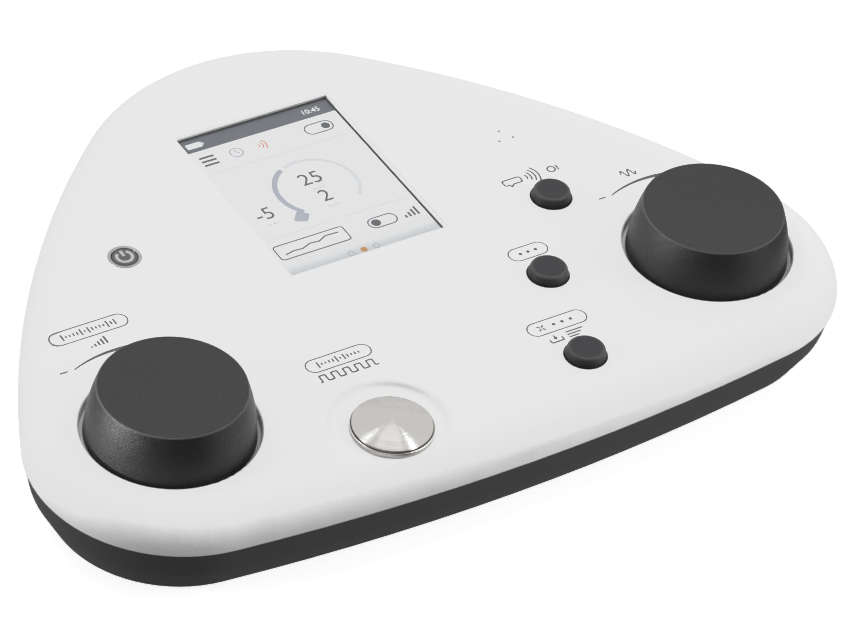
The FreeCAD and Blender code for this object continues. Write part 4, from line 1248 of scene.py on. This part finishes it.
@dataclass
class StimulusButton:
    """The domed steel button, the ring that it moves in and its spring, in millimetres.

    Args:
        finishes: the finishes of the slots.
        dome_radius: radius of the dome.
        dome_top: height of its middle.
        sagitta: how far its edge lies below its middle.
        skirt: height of its lower edge.
        sheet: thickness of its sheet.
        bend: how far inside and above its edge the dome turns down.
        tube: inner and outer radius of the tube under the ring.
        ring_radius: outer radius of the ring's lip.
        lip: height of the lip's lower and upper face.
        joint: the joint that presses the button; not used.
        travel: how far the spring shortens; not used.
    """

    finishes: Finishes
    dome_radius: float = 10.8
    dome_top: float = 30.8
    sagitta: float = 1.6
    skirt: float = 25.5
    sheet: float = 0.8
    bend: Point = (0.8, 0.24)
    tube: Point = (10.95, 11.2)
    ring_radius: float = 11.35
    lip: Point = (27.3, 28.7)
    joint: str = "stimulus_press"
    travel: float = 1.0

    def dome_outline(self) -> list[Point]:
        """Radius and height along the sheet, from the middle of the top to the middle inside."""
        edge = self.dome_top - self.sagitta
        inner = self.dome_radius - self.sheet
        start = self.dome_radius - self.bend[0]
        top = bowl(self.dome_radius, edge, -self.sagitta)
        under = [(r * inner / self.dome_radius, z - self.sheet) for r, z in top]
        skirt = rounded([
            (start, edge + self.bend[1], 0),
            (self.dome_radius, edge, 0.25),
            (self.dome_radius, self.skirt, 0.1),
            (inner, self.skirt, 0.1),
            (inner, edge - self.sheet, 0.4),
            (0.5 * inner, edge - self.sheet + 0.75 * self.sagitta, 0),
        ])
        return ([p for p in top if p[0] < start] + skirt
                + [p for p in reversed(under) if p[0] < 0.48 * inner])

    def ring_outline(self) -> list[Point]:
        """Radius and height round the ring's section."""
        inside, outside = self.tube
        low, high = self.lip
        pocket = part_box("stimulus_ring")[0].z / MM
        return rounded([
            (inside, pocket, 0),
            (outside, pocket, 0),
            (outside, low, 0),
            (self.ring_radius, low, 0),
            (self.ring_radius, high, 0.18),
            (inside, high, 0.1),
        ], joining=Joining.CLOSED)

    def build(self) -> None:
        """Turns the dome and the ring, and copies the coil under the dome."""
        centre = middle("stimulus_dome")
        steel = SpunSteel("dome_spun_steel", centre).make()
        mesh = LATHE.turn(self.dome_outline(), centre, steel)
        piece(DOME, mesh, steel, "dome_steel", "stimulus", "stimulus_dome")

        steel = SpunSteel("ring_spun_steel", centre, (0.50, 0.49, 0.475), 0.2, 0.2, 0.003).make()
        mesh = LATHE.turn(self.ring_outline(), centre, steel, Joining.CLOSED)
        piece("stimulus_ring_skin", mesh, steel, "dome_steel", "case", "stimulus_ring")

        coil = self.finishes.copy("stimulus_spring", "stimulus_coil")
        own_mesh(coil)


@dataclass
class PowerButton:
    """The on/off button, its metal ring and its symbol, in millimetres.

    Args:
        ring: inner and outer radius of the ring.
        ring_foot: height of the ring's underside.
        ring_top: height of the ring's top at its inner and outer edge.
        ring_land: width of the level part of its top.
        button_radius: radius of the button.
        stem_radius: radius of the stem under it.
        flange: height of the flange's lower and upper face.
        top: height of the button's top.
        symbol_radius: radius of the symbol's open circle.
        symbol_gap: angles between which the circle is drawn, in degrees.
        symbol_bar: where the symbol's bar starts and ends above the middle.
        symbol_width: width of its lines.
    """

    ring: Point = (3.75, 4.75)
    ring_foot: float = 25.7
    ring_top: Point = (28.25, 28.35)
    ring_land: float = 0.25
    button_radius: float = 3.55
    stem_radius: float = 1.6
    flange: Point = FLANGE
    top: float = 28.3
    symbol_radius: float = 2.15
    symbol_gap: Point = (125, 415)
    symbol_bar: Point = (0.3, 2.7)
    symbol_width: float = 0.95

    def build(self) -> None:
        """Turns the ring and the button and prints the symbol."""
        centre = middle("power_ring")
        inner, outer = self.ring
        inner_top, outer_top = self.ring_top
        metal = SpunSteel("power_ring_metal", centre, (0.34, 0.34, 0.34), 0.3, 0.15, 0.003).make()
        outline = rounded([
            (inner, self.ring_foot, 0),
            (outer, self.ring_foot, 0),
            (outer, outer_top, 0.12),
            (outer - self.ring_land, outer_top, 0.1),
            (inner, inner_top, 0.1),
        ], joining=Joining.CLOSED)
        mesh = LATHE.turn(outline, centre, metal, Joining.CLOSED, SMALL_TURN)
        piece("power_ring_skin", mesh, metal, "dome_steel", "case", "power_ring")

        low, high = self.flange
        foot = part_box("power_button")[0].z / MM
        outline = rounded([
            (0.0, self.top, 0),
            (self.button_radius, self.top, 0.25),
            (self.button_radius, high, 0),
            (outer, high, 0.1),
            (outer, low, 0.1),
            (self.stem_radius, low, 0),
            (self.stem_radius, foot, 0),
            (0.0, foot, 0),
        ])
        finish = MouldedPlastic("power_plastic", (0.085, 0.086, 0.088), grain=0.3, depth=0.015,
                                cloud=0.05, level=0.3).make()
        mesh = LATHE.turn(outline, centre, finish, segments=SMALL_TURN)
        piece("power_button_cap", mesh, finish, "button_plastic", "power", "power_button")

        marks = Marks("power_symbol", self.top - SUNK)
        marks.line(arc(centre, self.symbol_radius, *self.symbol_gap, 40), self.symbol_width)
        marks.line([(centre[0], centre[1] + y) for y in self.symbol_bar], self.symbol_width)
        ink = PrintedInk("power_symbol_ink", (0.37, 0.37, 0.37), CHARCOAL).make()
        piece("power_symbol", marks.press(ink), ink, "button_plastic", "power")


@dataclass
class CoverPrint:
    """The dark marks printed on the cover and a painted shade line along the window's bevel, in
    millimetres.

    Args:
        level: height of the cover's top.
        stroke: width of a line in a sign.
        pill_stroke: width of the line round a pill.
        dot: radius of a dot.
        dial: axis of the right dial, which the left one mirrors.
        sweep_radius: radius of the arc beside a dial.
        sweep_span: angles of the arc's ends in degrees.
        sweep_widths: width of the arc at its ends.
        end_angles: angles of the minus and the plus in degrees.
        end_offset: how far outside the arc they lie.
        end_reach: half the length of their lines.
        bevel_shade_path: the line of painted shade that shows the window's bevel, along its top and right
            edges.
        bevel_shade_width: its width.
    """

    level: float = 28.2
    stroke: float = 0.52
    pill_stroke: float = 0.42
    dot: float = 0.55
    dial: Point = (84.6, -47.1)
    sweep_radius: float = 32.2
    sweep_span: Point = (112.5, 68)
    sweep_widths: Point = (0.4, 1.7)
    end_angles: Point = (117.3, 62.7)
    end_offset: float = 1.4
    end_reach: float = 1.15
    bevel_shade_path: tuple[Point, ...] = ((-26.5, 57.2), (23.2, 57.2), (23.2, -9.0))
    bevel_shade_width: float = 0.3

    def pill(self, marks: Marks, low: Point, high: Point) -> None:
        """Draws the outline of a pill."""
        marks.outline(tile(low, high, (high[1] - low[1]) / 2 - 0.001), self.pill_stroke)

    def dots(self, marks: Marks, start: Point, pitch: float) -> None:
        """Draws three dots in a row."""
        for k in range(3):
            marks.disc((start[0] + pitch * k, start[1]), self.dot)

    def masking_noise(self, marks: Marks, start: Point, length: float, height: float) -> None:
        """Draws a row of uneven upright bars, the sign of a noise.

        Args:
            marks: the drawing.
            start: its left end.
            length: its length.
            height: its full height.
        """
        bars = round(length / (2.2 * self.stroke))
        for k in range(bars):
            x = start[0] + length * (k + 0.5) / bars
            swing = (0.25 + 0.75 * abs(math.sin(2.7 * k + 1) * math.cos(1.3 * k))) * height / 2
            marks.line([(x, start[1] - swing), (x, start[1] + swing)], self.stroke)

    def pulse_train(self, marks: Marks, low: Point, high: Point, pulses: int) -> None:
        """Draws a row of square pulses, the sign of a test tone.

        Args:
            marks: the drawing.
            low: lower left corner.
            high: upper right corner.
            pulses: how many.
        """
        step = (high[0] - low[0]) / pulses
        for k in range(pulses):
            x = low[0] + k * step
            rise, fall = x + 0.2 * step, x + 0.7 * step
            corners = [(x, low[1]), (rise, low[1]), (rise, high[1]), (fall, high[1]), (fall, low[1]),
                       (x + step, low[1])]
            marks.line(rounded([(a, b, 0.25) for a, b in corners], 5), self.stroke)

    def sweep(self, marks: Marks, side: int) -> None:
        """Draws a dial's widening arc, its minus and its plus.

        Args:
            marks: the drawing.
            side: -1 for the left dial and 1 for the right one.
        """
        centre = (side * self.dial[0], self.dial[1])
        marks.line(arc(centre, self.sweep_radius, *self.sweep_span, 48), *self.sweep_widths)
        outside = self.sweep_radius + self.end_offset
        minus, plus = (arc(centre, outside, angle, angle, 1)[0] for angle in self.end_angles)
        for x, y in (minus, plus):
            marks.line([(x - self.end_reach, y), (x + self.end_reach, y)], self.stroke)
        x, y = plus
        for start, end in ((-self.end_reach, -0.2), (0.2, self.end_reach)):
            marks.line([(x, y + start), (x, y + end)], self.stroke)

    def level_signs(self, marks: Marks) -> None:
        """Draws a noise in a pill and rising bars, over the left dial."""
        self.pill(marks, (-97.7, -7.4), (-74.8, -2.3))
        self.masking_noise(marks, (-94.6, -4.85), 16.7, 2.9)
        marks.stairs((-88.6, -11.7), 1.15, (0.6, 1.2, 1.8, 2.4, 3.0), 0.6)

    def stimulus_signs(self, marks: Marks) -> None:
        """Draws a noise in a pill and a pulse train, over the steel button."""
        self.pill(marks, (-41.9, -46.0), (-22.4, -41.05))
        self.masking_noise(marks, (-38.9, -43.5), 13.5, 2.8)
        self.pulse_train(marks, (-41.2, -50.0), (-23.3, -47.5), 5)

    def talk_over_sign(self, marks: Marks) -> None:
        """Draws a speech bubble, sound arcs and a listening ring."""
        bubble = rounded([
            (47.2, -1.2, 0.6), (48.6, -1.2, 0.1), (48.9, -2.1, 0.1), (50.0, -1.2, 0.1),
            (53.0, -1.2, 0.6), (53.0, 1.1, 0.6), (47.2, 1.1, 0.6),
        ], 5, Joining.CLOSED)
        marks.outline(bubble, self.stroke)
        marks.fan((53.4, 0.0), [1.6 + 1.25 * k for k in range(4)], 38, 12, self.stroke)
        marks.circle((63.2, 0.0), 1.15, self.stroke)
        marks.line([(65.2, -1.2), (65.2, 1.2)], self.stroke)

    def frequency_sign(self, marks: Marks) -> None:
        """Draws two waves, over the right dial."""
        waves = [(79.9 + 4.6 * k / 40, -10.75 + 1.4 * math.sin(k * FULL_TURN / 20))
                 for k in range(41)]
        marks.line(waves, self.stroke)

    def function_sign(self, marks: Marks) -> None:
        """Draws a pill that holds three dots."""
        self.pill(marks, (31.55, -30.5), (43.6, -25.4))
        self.dots(marks, (35.1, -27.95), 2.45)

    def no_reply_sign(self, marks: Marks) -> None:
        """Draws a pill that holds a cross and three dots."""
        self.pill(marks, (19.3, -59.4), (37.6, -54.2))
        x, y = 23.4, -56.8
        for lean in (-1, 1):
            for end in (-1, 1):
                marks.line([(x + end * 0.2, y + lean * end * 0.2), (x + end, y + lean * end)],
                           self.stroke)
        self.dots(marks, (27.4, y), 2.7)

    def store_sign(self, marks: Marks) -> None:
        """Draws an arrow into a tray, with a row of kept lines beside it."""
        tray = [(22.9, -61.9), (22.9, -63.3), (26.7, -63.3), (26.7, -61.9)]
        marks.line(rounded([(x, y, 0.3) for x, y in tray]), self.stroke)
        marks.line([(24.8, -60.6), (24.8, -62.0)], self.stroke)
        marks.fill([(24.1, -61.6), (24.8, -62.6), (25.5, -61.6)])
        for k in range(3):
            y = -61.0 - 1.05 * k
            marks.line([(28.4, y), (33.9 - 1.1 * k, y)], self.stroke)

    def build(self) -> None:
        """Prints every mark on the cover and paints the shade line along the window's bevel."""
        marks = Marks("cover_print", self.level - SUNK)
        for side in (-1, 1):
            self.sweep(marks, side)
        for sign in (self.level_signs, self.stimulus_signs, self.talk_over_sign,
                     self.frequency_sign, self.function_sign, self.no_reply_sign, self.store_sign):
            sign(marks)
        ink = PrintedInk("cover_ink", INK_TONE, (0.4, 0.4, 0.4)).make()
        piece(marks.name, marks.press(ink), ink, "cover_plastic", "case")

        # a grey line of painted shade along the top and right edges of the window's bevel
        bevel_shade = Marks("window_hairline", self.level - SUNK, 0.03)
        bevel_shade.line(self.bevel_shade_path, self.bevel_shade_width)
        grey = PrintedInk("bevel_shade_ink", (0.22, 0.22, 0.225), COVER_TONE).make()
        piece(bevel_shade.name, bevel_shade.press(grey), grey, "cover_plastic", "case")


@dataclass(frozen=True)
class Tint:
    """One colour of the display's picture.

    Args:
        tone: linear colour.
        height: how far its marks lie above the panel in millimetres.
    """

    tone: Colour
    height: float = 0.06


@dataclass
class Display:
    """The lit picture under its window: a gauge, numbers, switches and a boxed curve.

    Sizes and places are in millimetres.

    Args:
        finishes: the finishes of the slots.
        low: lower left corner of the picture.
        high: upper right corner of the picture.
        level: height of the panel.
        film: thickness of a layer of the picture.
        bar: height of the bar at the top.
        footer: height of the foot with the page circles.
        lens: height of the window's lower and upper face.
        stroke: width of a dark outline.
        gauge: middle of the gauge.
        gauge_radius: its radius.
        sign_row: height of the row of signs under the bar.
        numbers: the figures and their middles.
        number_height: height of a figure.
        foot_tone: linear colour at the paper's lower end.
        tints: the picture's colours.
    """

    finishes: Finishes
    low: Point = (-26.2, -8.55)
    high: Point = (22.2, 56.05)
    level: float = 26.8
    film: float = 0.03
    bar: float = 5.4
    footer: float = 4.4
    lens: Point = (26.96, 27.4)
    stroke: float = 0.42
    gauge: Point = (0.2, 22.8)
    gauge_radius: float = 12.0
    sign_row: float = 45.75
    numbers: tuple[tuple[str, Point], ...] = (
        ("25", (0.2, 26.6)), ("2", (0.2, 18.3)), ("-5", (-19.3, 18.3)))
    number_height: float = 5.2
    foot_tone: Colour = (0.43, 0.44, 0.452)
    tints: dict[str, Tint] = field(default_factory=lambda: {
        "paper": Tint((0.83, 0.835, 0.84), 0.0),
        "bar": Tint((0.069, 0.075, 0.092), 0.03),
        "figure": Tint((0.03, 0.032, 0.038)),
        "mid": Tint((0.335, 0.35, 0.39), 0.045),
        "pale": Tint((0.53, 0.54, 0.56), 0.045),
        "white": Tint((0.80, 0.81, 0.82)),
        "accent": Tint((0.42, 0.20, 0.004)),
        "warm": Tint((0.50, 0.15, 0.10)),
    })

    def layer(self, tint: str, draw: Callable[[Marks], None]) -> None:
        """Draws and lights everything of one colour.

        Args:
            tint: name of the colour.
            draw: adds the marks to the layer's empty drawing.
        """
        tone, height = self.tints[tint].tone, self.tints[tint].height
        marks = Marks("picture_" + tint, self.level + height, self.film)
        draw(marks)
        lit = LitPicture(marks.name, tone, self.foot_tone if tint == "paper" else None).make()
        piece(marks.name, marks.press(lit), lit, "display", "case")

    def build(self) -> None:
        """Makes the picture and the window over it."""
        for tint, draw in (("paper", self.paper), ("bar", self.top_bar), ("figure", self.figures),
                           ("mid", self.greys), ("pale", self.scale), ("white", self.bar_signs),
                           ("accent", self.page_dot), ("warm", self.sound)):
            self.layer(tint, draw)
        self.window()

    def paper(self, marks: Marks) -> None:
        """Fills the whole picture."""
        marks.fill(tile(self.low, self.high, 0.05))

    def top_bar(self, marks: Marks) -> None:
        """Fills the bar at the top."""
        marks.fill(tile((self.low[0], self.high[1] - self.bar), self.high, 0.05))

    def figures(self, marks: Marks) -> None:
        """Draws the numbers and the dark outlines."""
        for text, (x, y) in self.numbers:
            marks.numerals(text, (x, y), self.number_height, 0.01)
            for k in range(4):
                start = x - 1.5 + k
                marks.line([(start, y - 4.4), (start + 0.5, y - 4.4)], 0.35)
        self.switch(marks, (9.6, 43.6), (18.4, 47.9), (16.2, self.sign_row), (2.1, 1.35))
        marks.outline(tile((-24.6, -1.0), (-2.6, 5.0), 1.0), self.stroke)
        marks.line([(-22.6, 0.8), (-19.8, 1.4), (-17.0, 1.2), (-14.2, 2.3), (-11.4, 2.0),
                    (-8.6, 3.3), (-4.6, 3.1)], 0.5)
        self.switch(marks, (4.6, 0.0), (13.4, 4.2), (6.9, 2.1), (2.05, 1.45))
        marks.stairs((16.0, 0.3), 1.3, (1.2, 2.0, 2.8, 3.6), 0.7)
        for k in range(3):
            y = 44.0 + 1.7 * k
            marks.line([(-23.9, y), (-19.2, y)], 0.8)

    def switch(self, marks: Marks, low: Point, high: Point, thumb: Point, radii: Point) -> None:
        """Draws a sliding switch.

        Args:
            marks: the drawing.
            low: lower left corner.
            high: upper right corner.
            thumb: middle of its thumb.
            radii: rounding of its outline and radius of its thumb.
        """
        marks.outline(tile(low, high, radii[0]), self.stroke)
        marks.disc(thumb, radii[1])

    def greys(self, marks: Marks) -> None:
        """Draws the lit part of the gauge, the clock, the dividing lines and the page circles."""
        marks.line(arc(self.gauge, self.gauge_radius, 222, 118, 48), 1.7)
        marks.fill(rounded([(-13.6, 12.3, 0.8), (-9.9, 10.6, 0.8), (-7.6, 13.4, 0.8),
                            (-10.6, 16.0, 0.8)], 5, Joining.CLOSED))
        clock = (-12.8, self.sign_row)
        marks.circle(clock, 1.9, 0.5)
        for hand in ((-12.8, 47.0), (-11.9, 45.2)):
            marks.line([clock, hand], 0.45)
        for start, end, y in ((-24.2, 20.4, 39.9), (-24.2, -4.0, 8.2), (0.0, 20.4, 8.2)):
            marks.line([(start, y), (end, y)], 0.26)
        for x in (-6.0, 2.0):
            marks.circle((x, self.low[1] + self.footer / 2), 0.85, 0.34)

    def scale(self, marks: Marks) -> None:
        """Draws the unlit part of the gauge."""
        marks.line(arc(self.gauge, self.gauge_radius, 112, -42, 64), 1.3)

    def bar_signs(self, marks: Marks) -> None:
        """Draws the clock's figures and a battery on the bar."""
        y = self.high[1] - self.bar / 2
        marks.numerals("10:45", (15.6, y), 2.0, 0.012)
        marks.fill(tile((-24.6, y - 1.1), (-19.9, y + 1.1), 0.3))
        marks.fill(tile((-19.7, y - 0.5), (-19.3, y + 0.5), 0.05))

    def page_dot(self, marks: Marks) -> None:
        """Fills the circle of the page that is shown."""
        marks.disc((-2.0, self.low[1] + self.footer / 2), 1.0)

    def sound(self, marks: Marks) -> None:
        """Draws three sound arcs."""
        marks.fan((-6.4, self.sign_row), [1.0 + 1.05 * k for k in range(3)], 42, 14, 0.4)

    def window(self) -> None:
        """Cuts the clear window to the size of its node, with eased edges."""
        low, high = (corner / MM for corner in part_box("display_lens"))
        under, over = self.lens
        sheet = Marks("display_window", under, over - under)
        sheet.fill(tile((low.x, low.y), (high.x, high.y), 0.6))
        finish = self.finishes.of("display_lens")
        piece(sheet.name, sheet.press(finish), finish, "lens", "case", "display_lens")


# ---------------------------------------------------------------- studio
def direction(azimuth: float, elevation: float) -> Vector:
    """A unit vector from an azimuth and an elevation in degrees."""
    a, e = math.radians(azimuth), math.radians(elevation)
    return Vector((math.cos(a) * math.cos(e), math.sin(a) * math.cos(e), math.sin(e)))


@dataclass(frozen=True)
class SoftBox:
    """A lamp with a soft, even face that looks at the object.

    Args:
        name: name of the light.
        way: unit vector from its target to the light.
        distance: metres from its target.
        size: width and height in metres.
        power: strength in watts.
        only: the pieces that it lights; if none are named, all but the steel dome.
        target: the place that it faces, in metres.
        unshaded: whether only those pieces may shade it.
    """

    name: str
    way: Vector
    distance: float
    size: Point
    power: float
    only: tuple[str, ...] = ()
    target: Place = (0.0, 0.0, 0.0)
    unshaded: bool = False

    def hang(self) -> None:
        """Hangs the lamp and links it to its pieces."""
        data = bpy.data.lights.new(self.name, "AREA")
        data.shape = "RECTANGLE"
        data.size, data.size_y = self.size
        data.energy = self.power
        lamp = put(self.name, data)
        turn = self.way.to_track_quat("Z", "Y").to_matrix().to_4x4()
        lamp.matrix_world = Matrix.Translation(Vector(self.target) + self.way * self.distance) @ turn
        linked = bpy.data.collections.new(self.name + "_links")
        for name in self.only or (DOME,):
            linked.objects.link(bpy.data.objects[name])
        for link in linked.collection_objects:
            link.light_linking.link_state = "INCLUDE" if self.only else "EXCLUDE"
        lamp.light_linking.receiver_collection = linked
        if self.unshaded:
            lamp.light_linking.blocker_collection = linked


@dataclass
class Studio:
    """Camera, floor and soft lights.

    Args:
        place: the camera's place in metres.
        right: direction of the picture's right side.
        up: direction of the picture's upper side.
        back: direction from the object to the camera.
        lens: focal length in millimetres.
        sensor: width of the sensor in millimetres.
        clip: nearest and farthest distance that the camera sees, in metres.
        floor_size: half the width of the floor in metres.
        glow: strength of the sky below and above the horizon.
        horizon: heights between which the sky brightens.
        gap_azimuth: where the sky is dimmer, in degrees.
        gap_elevation: its height in degrees.
        gap_depth: share of the light that it lacks.
        gap_power: how sharply it is bounded.
        film: light and tone at the bends of the film's curve.
        glint_height: height on the steel dome of its glints, in millimetres.
    """

    place: Place = (-0.473505, -0.694495, 0.716234)
    right: Place = (0.850021, -0.519390, 0.087737)
    up: Place = (0.283100, 0.590923, 0.755423)
    back: Place = (-0.444205, -0.617287, 0.649337)
    lens: float = 166.717
    sensor: float = 36.0
    clip: Point = (0.05, 50.0)
    floor_size: float = 6.0
    glow: Point = (0.22, 1.1)
    horizon: Point = (-0.08, 0.12)
    gap_azimuth: float = -121.0
    gap_elevation: float = 16.0
    gap_depth: float = 0.98
    gap_power: float = 0.8
    film: tuple[Point, ...] = (
        (0.0, 0.0), (0.35, 0.35), (0.62, 0.75), (1.15, 0.82), (1.4, 1.0), (1.6, 1.0))
    glint_height: float = 30.0

    def camera(self) -> None:
        """Places the camera."""
        data = bpy.data.cameras.new("camera")
        data.lens, data.sensor_width, data.sensor_fit = self.lens, self.sensor, "HORIZONTAL"
        data.clip_start, data.clip_end = self.clip
        camera = put("camera", data)
        turn = Matrix((self.right, self.up, self.back)).transposed().to_4x4()
        camera.matrix_world = Matrix.Translation(self.place) @ turn
        bpy.context.scene.camera = camera

    def glint(self, azimuth: float, tilt: float) -> Vector:
        """The way to a lamp that glints to the camera on one slope of the steel dome.

        Args:
            azimuth: the way that the slope faces, in degrees from +X.
            tilt: how far the slope leans from level, in degrees.

        Returns:
            A unit vector.
        """
        x, y = middle("stimulus_dome")
        view = (Vector(self.place) - Vector((x, y, self.glint_height)) * MM).normalized()
        slope = direction(azimuth, 90 - tilt)
        return 2 * slope.dot(view) * slope - view

    def lamps(self) -> list[SoftBox]:
        """The lamps: the room's, then those of the dials, the cover and the steel dome."""
        steel = (DOME, "stimulus_ring_skin")
        dials = ("level_knob_skin", "frequency_knob_skin")
        boxes = [
            SoftBox("overhead", direction(56, 88), 1.6, (0.35, 0.35), 2.4),
            SoftBox("left_low", direction(168, 14), 1.4, (0.3, 0.4), 6.2),
            SoftBox("left_high", direction(118, 60), 1.5, (0.3, 0.3), 3.6),
            SoftBox("right_low", direction(-35, 30), 1.5, (0.3, 0.3), 4.0),
            SoftBox("right_high", direction(2, 53), 1.5, (0.3, 0.3), 2.6),
            SoftBox("front_right", direction(-53, 7), 0.75, (0.3, 0.15), 1.2),
            SoftBox("knob_glint", direction(171, 3), 0.3, (0.1, 0.03), 1.35, dials,
                    target=(-0.0846, -0.0471, 0.03)),
            SoftBox("well_fill", direction(30, 28), 1.5, (0.3, 0.3), 4.0, ("cover_moulding",),
                    unshaded=True),
            SoftBox("dome_top", direction(56, 86), 1.6, (0.9, 0.7), 1.85, steel),
        ]
        for side, azimuth, power, size in (("left", -163, 1.0, 0.18), ("right", -91, 1.9, 0.16)):
            for tilt in (26, 31, 36):
                boxes.append(SoftBox(f"dome_{side}_{tilt}", self.glint(azimuth, tilt), 1.5,
                                     (size, size), power, steel))
        return boxes

    def floor(self) -> None:
        """Lays the pale floor."""
        work = bmesh.new()
        bmesh.ops.create_grid(work, x_segments=2, y_segments=2, size=self.floor_size)
        mesh = bpy.data.meshes.new("floor")
        work.to_mesh(mesh)
        work.free()
        floor = put("floor", mesh)
        surface = Surface("floor_paper")
        mesh.materials.append(surface.finish({
            "Base Color": surface.blend(surface.noise(400.0), (0.48, 0.48, 0.48), (0.50, 0.50, 0.50)),
            "Roughness": 0.9,
            "Specular IOR Level": 0.1,
            "Emission Color": (1.0, 1.0, 1.0, 1.0),
            "Emission Strength": 1.2,
        }))
        floor.visible_diffuse = floor.visible_glossy = False

    def develop(self) -> None:
        """Sets the film's curve."""
        view = bpy.context.scene.view_settings
        view.view_transform = "Standard"
        view.use_curve_mapping = True
        white = self.film[-1][0]
        view.curve_mapping.white_level = [white] * 3
        curve = view.curve_mapping.curves[3]
        while len(curve.points) < len(self.film):
            curve.points.new(1.0, 1.0)
        for point, (light, tone) in zip(curve.points, self.film):
            point.location = (light / white, tone)
            point.handle_type = "VECTOR"
        view.curve_mapping.update()

    def sky(self) -> None:
        """Lights the room evenly, but for a gap behind the camera and below the horizon."""
        world = bpy.data.worlds.new("studio")
        bpy.context.scene.world = world
        world.use_nodes = True
        graph = Graph(world.node_tree)
        graph.tree.nodes.clear()
        x, y, height = graph.split(graph.node("ShaderNodeTexCoord").outputs["Generated"])
        glow = graph.value("ShaderNodeMapRange", {}, {
            "Value": height, "From Min": self.horizon[0], "From Max": self.horizon[1],
            "To Min": self.glow[0], "To Max": self.glow[1]})
        gap = direction(self.gap_azimuth, self.gap_elevation)
        facing = x * gap.x + y * gap.y + height * gap.z
        unlit = facing.maths("MAXIMUM", facing, 0.0) ** self.gap_power
        light = graph.node("ShaderNodeBackground", {}, {
            "Color": (1.0, 1.0, 1.0, 1.0), "Strength": glow * (1 - self.gap_depth * unlit)})
        graph.node("ShaderNodeOutputWorld", {}, {"Surface": light.outputs[0]})

    def build(self) -> None:
        """Sets up the whole studio."""
        self.develop()
        self.sky()
        self.camera()
        self.floor()
        for lamp in self.lamps():
            lamp.hang()


def main() -> None:
    """Builds every sub-assembly and the studio."""
    finishes = Finishes()
    for node in frame["nodes"]:
        finishes.dress(node)
    Housing(finishes).build()
    for name in ("level", "frequency"):
        Dial(name + "_knob", name + "_dial", SLOT_FINISHES["knob_plastic"]).build()
    for name in ("talk_over", "function", "store"):
        PushButton(name + "_button", name, SLOT_FINISHES["button_plastic"]).build()
    StimulusButton(finishes).build()
    PowerButton().build()
    CoverPrint().build()
    Display(finishes).build()
    Studio().build()


if __name__ == "__main__":
    logging.basicConfig(level=logging.INFO, format="%(message)s")
    main()
